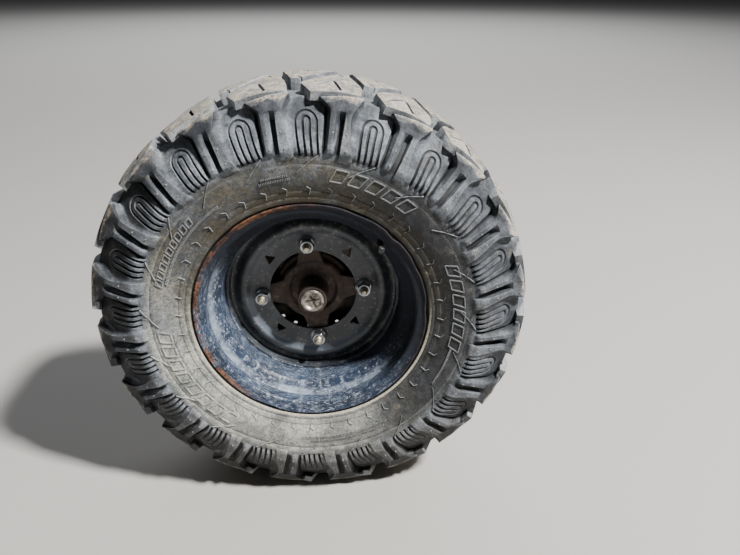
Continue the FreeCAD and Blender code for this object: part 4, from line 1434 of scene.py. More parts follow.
@dataclass
class CentreBlock:
    """A tread block beside the middle line, with an L-shaped sipe.

    It is made flat, in cm: its angles along X, at per_degree for a degree, and its distance from the middle
    plane along Y. Then it is wrapped round the tyre.
    """
    middle: float = -78.0
    floor_radius: float = 303.2
    per_degree: float = 0.55
    root: float = -0.35
    height: float = 1.48
    splay: float = 1.045
    crown_half: float = 50.0
    crown_fall: float = 10.0 / 58.0
    outline: tuple = ((-10.8, -60.0), (-8.1, -95.0), (-2.2, -87.0), (3.6, -87.0), (3.9, -67.0),
                      (0.4, 27.0), (-2.0, 29.0))
    sipes: tuple = (
        # Angle and distance of one end, the same of the other, width in cm.
        (-7.6, -70.0, -3.1, -43.0, 0.24), (-3.2, -43.6, -1.2, -79.0, 0.42), (-0.9, 6.0, -2.6, 32.0, 0.30))
    sipe_floor: float = 0.75
    sipe_top: float = 2.0
    chamfer: float = 0.04
    bend_step: float = 1.1
    bend_rows: tuple = (-5.0, -7.2, -2.5)

    def flat_point(self, angle: float, away: float) -> Vector:
        """A point of the flat block, from its angle in degrees and its distance in mm."""
        return Vector((angle * self.per_degree, away / 10))

    def flat(self) -> bpy.types.Mesh:
        """The block laid flat, a little wider at its root.

        Returns:
            The mesh.
        """
        count = len(self.outline)
        top = [self.flat_point(*corner) for corner in self.outline]
        middle = sum(top, Vector((0.0, 0.0))) / count
        grow = Vector((self.splay, (1 + self.splay) / 2))
        base = [middle + (corner - middle) * grow for corner in top]
        points = [(x, y, self.root) for x, y in base] + [(x, y, self.height) for x, y in top]
        faces = [tuple(range(count - 1, -1, -1)), tuple(range(count, 2 * count))]
        for index in range(count):
            after = (index + 1) % count
            faces.append((index, after, after + count, index + count))
        return new_mesh("block", points, faces)

    def cutter(self, a0: float, y0: float, a1: float, y1: float, width: float) -> bpy.types.Object:
        """A thin upright slab that cuts one leg of the sipe.

        Args:
            a0: one end's angle.
            y0: its distance from the middle plane, in mm.
            a1: the other end's angle.
            y1: its distance.
            width: the slab's thickness, in cm.

        Returns:
            The cutting solid.
        """
        start, end = self.flat_point(a0, y0), self.flat_point(a1, y1)
        along = (end - start).normalized()
        side, over = Vector((-along.y, along.x)) * width / 2, along * 0.1
        base = [start - side - over, end - side + over, end + side + over, start + side - over]
        points = [(p.x, p.y, up) for up in (self.sipe_floor, self.sipe_top) for p in base]
        faces = [(3, 2, 1, 0), (4, 5, 6, 7)] + [(i, (i + 1) % 4, (i + 1) % 4 + 4, i + 4) for i in range(4)]
        return linked("sipe_cutter", new_mesh("sipe_cutter", points, faces))

    def build(self, material: bpy.types.Material) -> bpy.types.Object:
        """The block on its pitch, at the slot's angle, outboard side.

        Args:
            material: its finish.

        Returns:
            The block.
        """
        piece = new_piece("centre_block", self.flat(), material)
        tools = [self.cutter(*row) for row in self.sipes]
        cut_by(piece, tools)
        bevel = piece.modifiers.new("edge", "BEVEL")
        bevel.width, bevel.segments = self.chamfer, 2
        bevel.limit_method, bevel.angle_limit = "ANGLE", math.radians(40)
        settled(piece)
        discard(tools)
        planes = [((step * self.bend_step, 0, 0), (1, 0, 0)) for step in range(-5, 3)]
        planes += [((0, along, 0), (0, 1, 0)) for along in self.bend_rows]
        with editing(piece.data) as work:
            for place, facing in planes:
                geometry = work.verts[:] + work.edges[:] + work.faces[:]
                bmesh.ops.bisect_plane(work, geom=geometry, dist=1e-5, plane_co=place, plane_no=facing)
            for corner in work.verts:
                corner.co = self.wrapped(*corner.co)
            bmesh.ops.recalc_face_normals(work, faces=work.faces)
        shade(piece.data, 35)
        return piece

    def wrapped(self, over: float, along: float, up: float) -> Vector:
        """A point of the flat block on the tyre, its top falling off towards the shoulder."""
        fall = max(0.0, abs(along * 10) - self.crown_half) * self.crown_fall * max(0.0, up) / self.height
        return Vector(on_wheel(self.floor_radius + up * 10 - fall, over / self.per_degree,
                               self.middle + along * 10))


@dataclass
class Tyre:
    """The tyre: casing, shoulder lugs with domed panels, centre blocks and the small marks of its mould."""
    palette: Palette
    ring: RingTree
    middle: float = -78.0
    phase: float = 9.9
    stagger: float = 4.8
    pitches: int = 20
    cavity: tuple = (
        # Radius, distance from the middle plane, rounding: inside, from the crown to the bead and the lip.
        (288.0, 0.0, 0.0), (286.0, 78.0, 14.0), (252.0, 100.0, 20.0), (205.0, 103.0, 18.0),
        (168.0, 80.0, 8.0), (152.8, 80.6, 3.0), (152.8, 101.2, 3.0), (166.2, 101.3, 2.0), (169.4, 106.8, 2.6))
    sidewall: tuple = (
        # The same, up the sidewall.
        (175.2, 108.4, 2.0), (177.6, 107.6, 1.0), (179.4, 109.0, 1.2), (184.5, 110.6, 1.2),
        (186.0, 109.9, 0.8), (194.0, 113.6, 4.0), (206.0, 117.2, 6.0), (221.0, 118.4, 3.0),
        (224.0, 117.4, 1.0), (236.0, 116.6, 6.0), (250.0, 112.0, 10.0), (272.0, 97.2, 12.0))
    crown: tuple = ((291.0, 84.8, 6.0), (302.2, 79.0, 6.0), (302.6, 0.0, 0.0))
    ridge: tuple = ((-1, -0.8), (-0.9, 1.35), (0, 1.6), (0.9, 1.35), (1, -0.8))
    under_bars: tuple = (
        # Radii, and the distances from the middle plane that a ridge keeps there.
        (223, 227, 236), (0, 118.5, 118.7))

    def casing(self) -> bpy.types.Object:
        """The closed casing under the tread, from bead to bead.

        Returns:
            The piece.
        """
        half = self.cavity + self.sidewall + self.crown
        outboard = [(radius, self.middle - away, turn) for radius, away, turn in half]
        inboard = [(radius, self.middle + away, turn) for radius, away, turn in reversed(half)]
        outline = rounded(outboard + inboard[1:-1], True, 3)
        mesh = revolved("casing", outline, 360)
        return new_piece("tyre_casing", mesh, self.palette.rubber, 60)

    def turned_over(self, piece: bpy.types.Object, name: str) -> bpy.types.Object:
        """A copy of an outboard piece turned half round the radius it stands on, for the inboard side.

        Args:
            piece: the outboard piece.
            name: the copy's name.

        Returns:
            The copy.
        """
        copy = linked(name, piece.data.copy())
        place = Matrix.Translation((0, self.middle * MM, 0))
        copy.data.transform(place @ Matrix.Rotation(math.pi, 4, "Z") @ place.inverted())
        return copy

    def both_sides(self, outboard: bpy.types.Object, name: str, merge: float = 0.0,
                   unevenness: float = 0.0) -> list:
        """Repeat an outboard pitch round, and its inboard copy, as two pieces.

        Args:
            outboard: the outboard pitch.
            name: the pieces' name.
            merge: distance within which corners are joined, in metres.
            unevenness: how far corners stray, in metres.

        Returns:
            The two pieces.
        """
        inboard = self.turned_over(outboard, f"{name}_inboard")
        outboard.name = f"{name}_outboard"
        self.ring.repeat(outboard, self.pitches, self.phase, merge, unevenness, 3.0)
        self.ring.repeat(inboard, self.pitches, self.phase + self.stagger, merge, unevenness, 8.0)
        return [outboard, inboard]

    def strip(self) -> list:
        """The two strips of lugs and panels.

        Returns:
            The two pieces.
        """
        shoulder = Shoulder()
        pitch = shoulder.strip()
        shoulder.open_ends(pitch.data)
        coat(pitch.data, self.palette.rubber)
        pieces = self.both_sides(pitch, "tyre_shoulder", 4e-6, 0.0011)
        for piece in pieces:
            with editing(piece.data) as work:
                bmesh.ops.recalc_face_normals(work, faces=work.faces)
            shade(piece.data, 32)
        return pieces

    def blocks(self) -> list:
        """The two rows of centre blocks."""
        piece = CentreBlock().build(self.palette.rubber)
        return self.both_sides(piece, "tyre_blocks", 0.0, 0.0011)

    def vents(self) -> list:
        """Vent pips on the lugs and panels, and a slanting vent line on the sidewall.

        Returns:
            The pieces.
        """
        work = bmesh.new()
        # Columns: angle, radius, distance from the middle plane, radius and height of a vent pip.
        for angle, radius, away, size, height in (
                (1.85, 266.0, 115.9, 1.25, 1.8), (-1.95, 266.0, 115.9, 1.25, 1.8),
                (2.5, 246.5, 123.6, 1.15, 1.6), (-1.9, 247.0, 123.5, 1.15, 1.6),
                (8.9, 229.0, 118.8, 0.9, 1.5)):
            where = Vector(on_wheel(radius, angle, self.middle - away))
            spin = Matrix.Rotation(math.radians(90), 4, "X")
            bmesh.ops.create_cone(work, cap_ends=True, segments=8, radius1=size * MM, radius2=size * 0.7 * MM,
                                  depth=height * MM, matrix=Matrix.Translation(where) @ spin)
        self._line(work, 12.6, 236.5, 5.4, 213.0, 0.5)
        piece = new_piece("marks", mesh_of("marks", work), self.palette.rubber)
        return self.both_sides(piece, "tyre_vent_marks")

    def ticks(self) -> list:
        """Moulded ticks by the bead.

        Returns:
            The two pieces.
        """
        work = bmesh.new()
        for angle in (0.0, 9.4):
            self._line(work, angle, 181.0, angle + 0.6, 189.5, 0.55)
            self._line(work, angle + 0.6, 189.5, angle - 1.0, 193.0, 0.45)
        piece = new_piece("ticks", mesh_of("ticks", work), self.palette.rubber)
        return self.both_sides(piece, "tyre_bead_ticks")

    def bands(self) -> bpy.types.Object:
        """Plain raised frames and finely ribbed bands, moulded where the sidewall is marked.

        Returns:
            The piece.
        """
        work = bmesh.new()
        # Columns: first angle, how many frames, angle from one to the next, inner and outer radius, slant.
        for first, count, step, low, high, slant in (
                (-146.0, 8, 6.4, 200.0, 216.0, 1.6), (8.0, 5, 6.6, 203.0, 220.0, 1.8),
                (66.0, 6, 6.4, 203.0, 219.0, 1.8), (-76.0, 9, 3.4, 208.0, 217.0, 0.8)):
            for index in range(count):
                start = first + step * index
                near, far = start + step * 0.12, start + step * 0.80
                corners = [(near, low), (near + slant, high), (far + slant, high), (far, low)]
                for corner in range(4):
                    self._line(work, *corners[corner], *corners[(corner + 1) % 4], 0.9)
        # Columns: first and last angle, inner and outer radius of a ribbed band.
        rib = 0.62
        for first, last, low, high in (
                (148.0, 186.0, 203.0, 206.4), (150.0, 182.0, 209.0, 211.6), (-17.0, -5.0, 203.0, 206.2),
                (-16.0, -6.0, 208.4, 211.0), (-74.0, -34.0, 201.0, 204.6), (-142.0, -96.0, 193.6, 196.4),
                (104.0, 122.0, 206.0, 209.0)):
            for index in range(int((last - first) / rib)):
                place = first + rib * index
                self._line(work, place, low, place + 0.15, high, 0.42)
        return new_piece("tyre_side_bands", mesh_of("bands", work), self.palette.rubber, 60)

    def _side_at(self, radius: float) -> float:
        """Distance of the plain sidewall from the middle plane at a radius."""
        return float(np.interp(radius, *list(zip(*self.sidewall))[:2]))

    def _line(self, work: bmesh.types.BMesh, a0: float, r0: float, a1: float, r1: float, half: float) -> None:
        """Add one low ridge along the sidewall from one angle and radius to another.

        Args:
            work: the mesh it goes into.
            a0: first angle, in degrees.
            r0: first radius, in mm.
            a1: last angle.
            r1: last radius.
            half: half its width, in mm.
        """
        steps, rows = max(1, round((abs(r1 - r0) + abs(a1 - a0) * 3) / 5)), []
        for step in range(steps + 1):
            share = step / steps
            angle, radius = a0 + (a1 - a0) * share, r0 + (r1 - r0) * share
            away = max(self._side_at(radius), float(np.interp(radius, *self.under_bars)))
            along = Vector((r1 - r0, math.radians(a1 - a0) * radius)).normalized()
            rows.append([])
            for over, lift in self.ridge:
                turn = angle + math.degrees(along.x * over * half / radius)
                corner = on_wheel(radius - along.y * over * half, turn, self.middle - away - lift)
                rows[-1].append(work.verts.new(corner))
        for here, there in zip(rows, rows[1:]):
            for corner in range(len(here)):
                other = (corner + 1) % len(here)
                work.faces.new((here[corner], here[other], there[other], there[corner]))
        work.faces.new(rows[0][::-1])
        work.faces.new(rows[-1])

    def build(self) -> list:
        """Every piece of the tyre."""
        return [self.casing(), *self.strip(), *self.blocks(), *self.vents(), *self.ticks(), self.bands()]


# Wheel


@dataclass
class SteelWheel:
    """The pressed steel wheel: rim barrel, wheel disc, weld beads and the dents of its rolled edge."""
    palette: Palette
    ring: RingTree
    middle: float = -78.0
    well: float = 132.0
    seat_inside: float = 149.8
    face: float = -101.0
    vent_radius: float = 83.0
    stud_circle: float = 78.0
    stud_turn: float = -4.9
    dents: tuple = (
        # Angle, half width in degrees, depth of the rolled edge's push inwards and outwards along Y, in mm.
        (24.0, 9.0, 1.6, 0.6), (44.0, 5.0, 2.4, -0.9), (63.0, 6.0, 1.4, 0.8), (88.0, 8.0, 2.0, 0.9),
        (118.0, 6.0, 1.0, -0.6), (205.0, 10.0, 0.9, 0.4), (318.0, 7.0, 1.2, 0.5))
    edge_foot: float = 156.0
    edge_rise: float = 9.0
    edge_wear: float = 0.3
    wavers: tuple = (
        # Height in mm, waves round and start in degrees of the rolled edge's waver, and the disc's swell.
        ((0.25, 5, 40), (0.15, 11, 0)), ((0.35, 2, 30), (0.2, 3, 0)))
    drill_length: float = 0.05
    drill_corner: float = 0.0022
    weld_span: float = 23.0
    weld_half: float = 2.2
    weld_ripple: float = 0.45
    weld_stray: float = 0.15

    def waver(self, row: int, angle: float) -> float:
        """How far a row of the wavers stands at an angle, in mm."""
        return sum(height * math.sin(math.radians(angle * waves + start))
                   for height, waves, start in self.wavers[row])

    def edge_shift(self, radius: float, along: float, angle: float) -> tuple[float, float]:
        """How far a point of the rolled outboard edge is knocked out of true.

        Args:
            radius: the point's radius, in mm.
            along: its Y, in mm.
            angle: its angle, in degrees.

        Returns:
            The change in radius and Y, in mm.
        """
        depth = min(1.0, max(0.0, (radius - self.edge_foot) / self.edge_rise))
        depth *= 1.0 if along < self.middle else 0.0
        inward = over = 0.0
        for place, half, push, out in self.dents:
            away = abs((angle - place + 180) % 360 - 180) / half
            if away < 1:
                share = (1 - away * away) ** 2
                inward += push * share
                over += out * share
        waver = self.waver(0, angle)
        return -(inward + self.edge_wear + waver * 0.5) * depth, (over + waver) * depth

    def barrel(self) -> bpy.types.Object:
        """The rim barrel, from one rolled edge to the other.

        Returns:
            The piece.
        """
        def side(sign: int, slope: float) -> list[tuple[float, float, float]]:
            """One side from the drop centre's outer face over the rolled edge to its inner face."""
            steps = ((134.6, 80.6 - slope, 6.0), (151.6, 80.6, 5.0), (152.4, 101.4, 3.0),
                     (163.6, 101.6, 3.5), (167.4, 106.2, 1.0), (165.4, 107.6, 1.0), (160.6, 104.6, 3.0),
                     (self.seat_inside, 103.4, 4.5), (self.seat_inside, 81.6, 4.0), (148.2, 80.0, 1.0),
                     (self.well, 81.6 - slope, 7.0))
            return [(radius, sign * away, turn) for radius, away, turn in steps]
        corners = [(radius, self.middle + away, turn)
                   for radius, away, turn in (*side(-1, 12.6), *reversed(side(1, 28.0)))]
        mesh = revolved("barrel", rounded(corners, True, 4), 256, self.edge_shift)
        return new_piece("rim_barrel_skin", mesh, self.palette.paint, 40)

    def drill(self, piece: bpy.types.Object, sides: int, size: float, radius: float, start: float,
              turn: float = 0.0) -> None:
        """Cut four holes through a piece, with that many sides, round the axle.

        Args:
            piece: what is drilled.
            sides: sides of each hole; three get turned corners.
            size: a hole's radius, in mm.
            radius: radius of the circle they stand on.
            start: the first hole's angle.
            turn: how far each is turned in place.
        """
        tools = bmesh.new()
        for index in range(4):
            angle = start + 90.0 * index
            where = Vector(on_wheel(radius, angle, self.face))
            matrix = (Matrix.Translation(where) @ Matrix.Rotation(math.radians(angle + turn), 4, "Y")
                      @ Matrix.Rotation(math.radians(-90), 4, "X"))
            bmesh.ops.create_cone(tools, cap_ends=True, segments=sides, radius1=size * MM, radius2=size * MM,
                                  depth=self.drill_length, matrix=matrix)
        if sides == 3:
            corners = [edge for edge in tools.edges
                       if abs((edge.verts[0].co - edge.verts[1].co).y) > self.drill_length / 2]
            bmesh.ops.bevel(tools, geom=corners, offset=self.drill_corner, segments=3, affect="EDGES",
                            profile=0.5)
        tool = linked("drill", mesh_of("drill", tools))
        cut_by(piece, [tool])
        settled(piece, 40)
        discard([tool])

    def disc(self) -> bpy.types.Object:
        """The wheel disc with its ridge, valley, turned edge and holes.

        Returns:
            The piece.
        """
        face, edge = self.face, self.well - 0.3
        front = [(66.0, face, 0.8), (94.5, face, 5.0), (103.5, face - 6.2, 6.0), (110.5, face - 6.0, 5.0),
                 (119.5, face + 5.6, 6.0), (edge - 4.4, face + 5.6, 3.0), (edge - 4.0, face - 11.0, 0.8)]
        back = [(edge, face - 11.0, 0.8), (edge, face + 9.8, 5.0), (118.2, face + 9.8, 6.0),
                (109.3, face - 1.8, 6.0), (104.6, face - 2.0, 5.0), (96.2, face + 4.0, 5.0),
                (66.0, face + 4.0, 0.8)]

        def warp(radius: float, _along: float, angle: float) -> Pair:
            """How far the pressing's outer part is out of true."""
            fade = min(1.0, (self.well - radius) / 30.0)
            return 0.0, self.waver(1, angle) * fade * (1.0 if radius > 92 else 0.0)
        mesh = revolved("disc", rounded(front + back, True, 5), 200, warp)
        piece = new_piece("wheel_disc_pressing", mesh, self.palette.disc, 40)
        self.drill(piece, 28, 6.2, self.stud_circle, self.stud_turn)
        self.drill(piece, 3, 9.6, self.vent_radius, self.stud_turn + 45.0, 180.0)
        return piece

    def weld(self) -> bpy.types.Object:
        """The run of weld that joins the disc's edge to the barrel, in eight stitches.

        Returns:
            The piece.
        """
        points, faces, steps = [], [], 26
        rng = np.random.default_rng(5)
        for step in range(steps):
            angle = self.weld_span * step / (steps - 1)
            bead = self.weld_half + self.weld_ripple * math.sin(step * 2.4)
            bead += rng.uniform(-self.weld_stray, self.weld_stray)
            bead *= math.sin(math.pi * min(1.0, max(0.0, (step + 0.6) / steps))) ** 0.35
            for corner in range(8):
                turn = 2 * math.pi * corner / 8
                points.append(on_wheel(self.well - 1.2 + bead * math.cos(turn), angle,
                                       self.face - 11.6 + bead * math.sin(turn)))
        for step in range(steps - 1):
            for corner in range(8):
                here, over = step * 8 + corner, step * 8 + (corner + 1) % 8
                faces.append((here, over, over + 8, here + 8))
        faces += [tuple(range(8)), tuple(range((steps - 1) * 8, steps * 8))]
        piece = new_piece("rim_weld", new_mesh("weld", points, faces), self.palette.paint, 60)
        return self.ring.repeat(piece, 8, 9.0, unevenness=0.0006, sharp=60)

    def build(self) -> list:
        """The barrel, the disc and the weld."""
        return [self.barrel(), self.disc(), self.weld()]


@dataclass
class Fastenings:
    """Wheel studs with their threads, flanged nuts, and the hub cap with its dent."""
    palette: Palette
    ring: RingTree
    face: float = -101.0
    stud_circle: float = 78.0
    stud_turn: float = -4.9
    flats: float = 19.0
    thread_pitch: float = 1.25
    thread_root: float = 5.1
    thread_crest: float = 5.95
    dent_radius: float = 12.6
    dent_turn: float = 22.0
    dent_depth: float = 2.9
    dent_swell: float = 0.9

    def _moved(self, mesh: bpy.types.Mesh) -> bpy.types.Mesh:
        """Move a mesh made on the axle to the top stud's place."""
        mesh.transform(Matrix.Translation((0, 0, self.stud_circle * MM)))
        return mesh

    def studs(self) -> bpy.types.Object:
        """Four studs: threaded, with a plain rounded end, and a round head behind the hub's arm.

        Returns:
            The piece.
        """
        face, tip = self.face, self.face - 25.0
        outline = [(0.0, tip, 0), (3.3, tip, 0.8), (4.4, tip + 1.2, 0.8), (4.6, tip + 4.2, 0.3)]
        along = tip + 4.4
        while along < face - 14.0:
            outline += [(self.thread_root, along, 0.15), (self.thread_crest, along + 0.62, 0.2),
                        (self.thread_root, along + self.thread_pitch, 0.0)]
            along += self.thread_pitch
        outline += [(6.0, face - 13.0, 0), (6.0, face + 18.0, 0), (9.0, face + 18.0, 0.4),
                    (9.0, face + 21.4, 0.6), (0.0, face + 21.4, 0)]
        mesh = self._moved(revolved("stud", rounded(outline, True, 2), 28))
        piece = new_piece("wheel_stud_set", mesh, self.palette.stud)
        return self.ring.repeat(piece, 4, self.stud_turn, sharp=50)

    def nuts(self) -> bpy.types.Object:
        """Four flanged nuts: a coned flange under a hexagon with turned corners.

        Returns:
            The piece.
        """
        corner, face = self.flats / math.sqrt(3) + 0.3, self.face
        outline = [(6.1, face - 0.1, 0.3), (12.6, face - 0.1, 0.5), (13.4, face - 1.2, 0.6),
                   (13.2, face - 2.4, 0.6), (10.4, face - 4.6, 0.6), (corner, face - 5.0, 0.2),
                   (corner, face - 14.2, 0.2), (9.2, face - 16.0, 0.4), (6.6, face - 16.0, 0.5),
                   (6.1, face - 15.2, 0.1)]
        mesh = revolved("nut", rounded(outline, True, 3), 72)
        for point in mesh.vertices:
            radius = math.hypot(point.co.x, point.co.z) / MM
            if point.co.y < (face - 4.7) * MM and radius > self.flats / 2:
                turn = math.atan2(point.co.x, point.co.z)
                bearing = (turn + math.pi / 6) % (math.pi / 3) - math.pi / 6
                held = min(radius, self.flats / 2 / math.cos(bearing))
                point.co.x *= held / radius
                point.co.z *= held / radius
        piece = new_piece("wheel_nut_set", self._moved(mesh), self.palette.zinc)
        return self.ring.repeat(piece, 4, self.stud_turn, sharp=28)

    def cap(self) -> bpy.types.Object:
        """The pressed cap in the snout: a raised ring round a face that is knocked in crosswise.

        Returns:
            The piece.
        """
        end = self.face - 35.0
        front = [(0.0, end + 0.9, 0), (6.0, end + 0.7, 2.0), (11.4, end + 1.0, 1.0), (13.0, end - 2.6, 1.4),
                 (16.0, end - 2.9, 1.4), (18.0, end - 0.8, 1.2), (18.05, end + 9.0, 0.3)]
        back = [(16.2, end + 9.0, 0.3), (16.2, end + 2.4, 1.5), (11.5, end + 3.0, 1.0), (0.0, end + 2.9, 0)]
        mesh = revolved("cap", self._divided(rounded(front + back, True, 3)), 72)
        for point in mesh.vertices:
            x, z = point.co.x / MM, point.co.z / MM
            radius = math.hypot(x, z)
            if radius > self.dent_radius:
                continue
            turn = math.atan2(x, z) + math.radians(self.dent_turn)
            cross = max(math.exp(-(radius * math.sin(turn) / 1.5) ** 2),
                        math.exp(-(radius * math.cos(turn) / 1.7) ** 2))
            fade = 1 - (radius / self.dent_radius) ** 2
            point.co.y += (self.dent_depth * cross - self.dent_swell * (1 - cross)) * fade * MM
        return new_piece("hub_cap_pressing", mesh, self.palette.cap, 50)

    @staticmethod
    def _divided(outline: Sequence[Pair], longest: float = 1.4) -> list[Pair]:
        """An outline with its long runs near the axle divided.

        Args:
            outline: radius and Y of each point in mm.
            longest: how long a run may stay, in mm.

        Returns:
            The outline with more points.
        """
        out: list[Pair] = []
        for index, here in enumerate(outline):
            after = outline[(index + 1) % len(outline)]
            out.append(here)
            length = math.hypot(after[0] - here[0], after[1] - here[1])
            near = 0 < max(here[0], after[0]) < 13
            pieces = int(length / longest) if near else 1
            for step in range(1, pieces):
                share = step / pieces
                out.append((here[0] + (after[0] - here[0]) * share, here[1] + (after[1] - here[1]) * share))
        return out

    def build(self) -> list:
        """Studs, nuts and cap."""
        return [self.studs(), self.nuts(), self.cap()]


@dataclass
class Valve:
    """The rubber snap-in valve and its ribbed cap."""
    palette: Palette
    turn: float = 45.0
    radius: float = 140.9
    wall: float = -152.3
    length: float = 26.0

    def build(self) -> list:
        """The stem and the cap.

        Returns:
            The two pieces.
        """
        tip = self.wall - self.length
        stem = [(0.0, tip, 0), (3.4, tip, 0.4), (3.6, tip + 4.0, 0.5), (4.1, tip + 8.0, 1.0),
                (4.2, self.wall - 1.0, 1.0), (4.2, self.wall + 12.2, 0.8), (0.0, self.wall + 12.2, 0)]
        cap = [(0.0, tip - 9.0, 0), (3.6, tip - 9.0, 1.2), (4.9, tip - 7.4, 0.8), (5.0, tip - 0.3, 0.4),
               (0.0, tip - 0.3, 0)]
        made = []
        for name, outline, ridges in (("valve_stem_rubber", stem, 0), ("valve_cap_moulding", cap, 12)):
            mesh = revolved(name, rounded(outline, True, 3), 48)
            for point in mesh.vertices:
                if ridges and tip - 7.2 < point.co.y / MM < tip - 0.8:
                    angle = math.atan2(point.co.x, point.co.z)
                    push = 1 - 0.05 * (0.5 + 0.5 * math.cos(ridges * angle))
                    point.co.x *= push
                    point.co.z *= push
            mesh.transform(Matrix.Rotation(math.radians(self.turn), 4, "Y")
                           @ Matrix.Translation((0, 0, self.radius * MM)))
            made.append(new_piece(name, mesh, self.palette.plain_rubber, 45))
        return made


@dataclass
class Castings:
    """Hub, carrier and caliper: the frame's solids with their edges rounded as a mould leaves them."""
    palette: Palette
    frame: dict
    nodes: tuple = (
        # Node, finish, voxel in mm, rounds of smoothing.
        ("wheel_hub", "casting", 1.15, 7), ("bearing_carrier", "cast_metal", 1.3, 6),
        ("brake_caliper", "caliper", 1.1, 7))

    def soften(self, node: str, finish: str, voxel: float, rounds: int) -> bpy.types.Object:
        """A remeshed, smoothed copy of a node, to stand for it.

        Args:
            node: the node's name.
            finish: the palette's name for its finish.
            voxel: the remesh's cell, in mm.
            rounds: rounds of smoothing.

        Returns:
            The piece.
        """
        mesh, material = self.frame["nodes"][node].data.copy(), getattr(self.palette, finish)
        with editing(mesh) as work:
            bmesh.ops.remove_doubles(work, verts=work.verts, dist=1e-6)
        piece = new_piece(f"{node}_casting", mesh, material)
        remesh = piece.modifiers.new("mould", "REMESH")
        remesh.mode, remesh.voxel_size = "VOXEL", voxel * MM
        smooth = piece.modifiers.new("rounding", "SMOOTH")
        smooth.factor, smooth.iterations = 0.5, rounds
        settled(piece, 55)
        coat(piece.data, material)
        return piece

    def build(self) -> dict:
        """Every casting, by the node it stands for."""
        return {row[0]: self.soften(*row) for row in self.nodes}


# Studio


@dataclass
class Studio:
    """Pale floor, soft lights and the camera at the photograph's viewing angle."""
    floor_height: float = -0.3182
    floor_half: float = 30.0
    floor_colour: Colour = (0.40, 0.392, 0.38, 1.0)
    lens: float = 32.74
    eye: tuple = (0.05606, -1.03875, 0.44487)
    yaw: float = 0.0331323
    pitch: float = 0.4239116
    roll: float = 0.003816
    lamps: tuple = (
        # Name, place, aim, side in metres, power in watts, colour.
        ("key", (2.60, -1.72, 4.00), (0, -0.08, 0), 0.45, 820.0, (1.0, 0.97, 0.925)),
        ("fill", (-1.9, -1.8, 1.3), (0, -0.08, 0), 1.8, 0.6, (0.86, 0.92, 1.0)),
        ("back", (0.6, 2.2, 1.6), (0, 0, 0), 1.6, 4.0, (0.95, 0.97, 1.0)),
        ("wash", (0, 8.5, 4.5), (0, 8.5, 0), 9.0, 760.0, (0.97, 0.98, 1.0)))
    room_colour: Colour = (0.80, 0.84, 0.90, 1)
    room_glow: float = 0.04

    def camera(self) -> None:
        """Place the camera."""
        level_share = math.cos(self.pitch)
        forward = Vector((math.sin(self.yaw) * level_share, math.cos(self.yaw) * level_share,
                          -math.sin(self.pitch)))
        level = Vector((math.cos(self.yaw), -math.sin(self.yaw), 0.0))
        above = level.cross(forward)
        right = level * math.cos(self.roll) + above * math.sin(self.roll)
        up = above * math.cos(self.roll) - level * math.sin(self.roll)
        data = bpy.data.cameras.new("camera")
        data.lens, data.sensor_width, data.sensor_fit = self.lens, 36.0, "HORIZONTAL"
        data.clip_start = 0.01
        seen = linked("camera", data)
        turn = Matrix((right, up, -forward)).transposed().to_4x4()
        seen.matrix_world = Matrix.Translation(self.eye) @ turn
        bpy.context.scene.camera = seen

    def floor(self) -> None:
        """The plain pale floor."""
        signs = ((-1, -1), (1, -1), (1, 1), (-1, 1))
        corners = [(x * self.floor_half, y * self.floor_half, self.floor_height) for x, y in signs]
        mesh = new_mesh("floor", corners, [(0, 1, 2, 3)])
        material = bpy.data.materials.new("floor_paint")
        material.use_nodes = True
        shader = material.node_tree.nodes["Principled BSDF"]
        shader.inputs["Base Color"].default_value = self.floor_colour
        shader.inputs["Roughness"].default_value = 0.9
        new_piece("floor", mesh, material)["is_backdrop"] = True

    def light(self, name: str, place: tuple, aim: tuple, size: float, power: float, colour: tuple) -> None:
        """One soft rectangular light.

        Args:
            name: the light's name.
            place: where it stands.
            aim: where it points.
            size: its side, in metres.
            power: in watts.
            colour: red, green and blue.
        """
        data = bpy.data.lights.new(name, "AREA")
        data.shape, data.size, data.energy, data.color = "SQUARE", size, power, colour
        lamp = linked(name, data)
        lamp.location = place
        lamp.rotation_euler = (Vector(aim) - Vector(place)).to_track_quat("-Z", "Y").to_euler()

    def build(self) -> None:
        """Camera, floor, lights and the even glow of the room."""
        self.camera()
        self.floor()
        for lamp in self.lamps:
            self.light(*lamp)
        world = bpy.data.worlds.new("room")
        world.use_nodes = True
        glow = world.node_tree.nodes["Background"].inputs
        glow["Color"].default_value, glow["Strength"].default_value = self.room_colour, self.room_glow
        bpy.context.scene.world = world


# Assembly


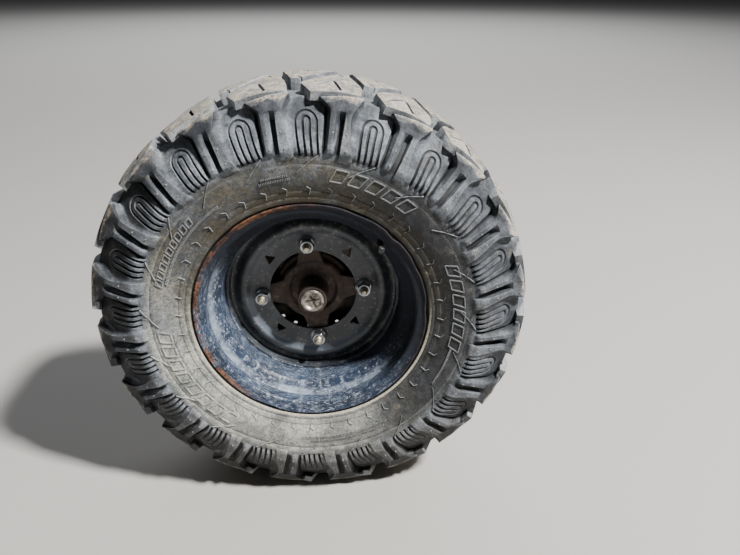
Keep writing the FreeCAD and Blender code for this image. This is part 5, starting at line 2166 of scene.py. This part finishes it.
class Assembly:
    """Puts every piece on its body and in place of the node it stands for."""

    def __init__(self) -> None:
        """Load the frame and build the finishes."""
        self.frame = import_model()
        self.cad_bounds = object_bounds()
        self.palette = Palette()
        self.ring = RingTree()

    def put(self, pieces: Sequence[bpy.types.Object], body: Body, slot: str, *nodes: str) -> None:
        """Put pieces on their body, and hide the nodes they stand for.

        Args:
            pieces: the objects.
            body: what they ride on.
            slot: the record's material slot; not used.
            nodes: the frame's nodes that they replace.
        """
        for piece in pieces:
            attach(piece, body.value)
            if nodes:
                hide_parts(*nodes)
            faces, stands_for = len(piece.data.polygons), ", ".join(nodes) or "itself"
            LOG.info("%s: %d faces on %s for %s", piece.name, faces, body.value, stands_for)

    def dress(self, node: str, material: bpy.types.Material) -> None:
        """Give a node that stays its finish.

        Args:
            node: the node's name.
            material: its finish.
        """
        piece = self.frame["nodes"][node]
        for index in range(len(piece.material_slots)):
            piece.material_slots[index].material = material
        LOG.info("%s: dressed in %s", node, material.name)

    def build(self) -> None:
        """Build every sub-assembly in order."""
        palette, ring = self.palette, self.ring
        Studio().build()
        self.put(Tyre(palette, ring).build(), Body.WHEEL, "tyre_rubber", "tyre")
        barrel, disc, weld = SteelWheel(palette, ring).build()
        self.put([barrel], Body.WHEEL, "wheel_paint", "rim_barrel")
        self.put([disc], Body.WHEEL, "wheel_paint", "wheel_disc")
        self.put([weld], Body.WHEEL, "wheel_paint")
        studs, nuts, cap = Fastenings(palette, ring).build()
        self.put([studs], Body.WHEEL, "zinc_steel", "wheel_studs")
        self.put([nuts], Body.WHEEL, "zinc_steel", "wheel_nuts")
        self.put([cap], Body.WHEEL, "cap_steel", "hub_cap")
        stem, valve_cap = Valve(palette).build()
        self.put([stem], Body.WHEEL, "valve_rubber", "valve_stem")
        self.put([valve_cap], Body.WHEEL, "valve_rubber", "valve_cap")
        castings = Castings(palette, self.frame).build()
        self.put([castings["wheel_hub"]], Body.WHEEL, "rusty_iron", "wheel_hub")
        self.put([castings["bearing_carrier"]], Body.CARRIER, "carrier_metal", "bearing_carrier")
        self.put([castings["brake_caliper"]], Body.CARRIER, "caliper_iron", "brake_caliper")
        for node, material in (
                ("brake_disc", palette.rotor), ("brake_disc_bolts", palette.zinc),
                ("stub_axle", palette.axle), ("axle_washer", palette.zinc), ("axle_nut", palette.zinc),
                ("bearing_inner_ring", palette.bearing), ("bearing_outer_ring", palette.bearing),
                ("bearing_seal_outboard", palette.plain_rubber),
                ("bearing_seal_inboard", palette.plain_rubber), ("retaining_ring", palette.zinc),
                ("caliper_bolts", palette.zinc), ("brake_pads", palette.lining)):
            self.dress(node, material)

    def write_sizes(self) -> None:
        """Update the view layer."""
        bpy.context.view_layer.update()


def main() -> None:
    """Build the scene."""
    logging.basicConfig(level=logging.INFO, format="%(name)s: %(message)s")
    assembly = Assembly()
    assembly.build()
    assembly.write_sizes()


if __name__ == "__main__":
    main()
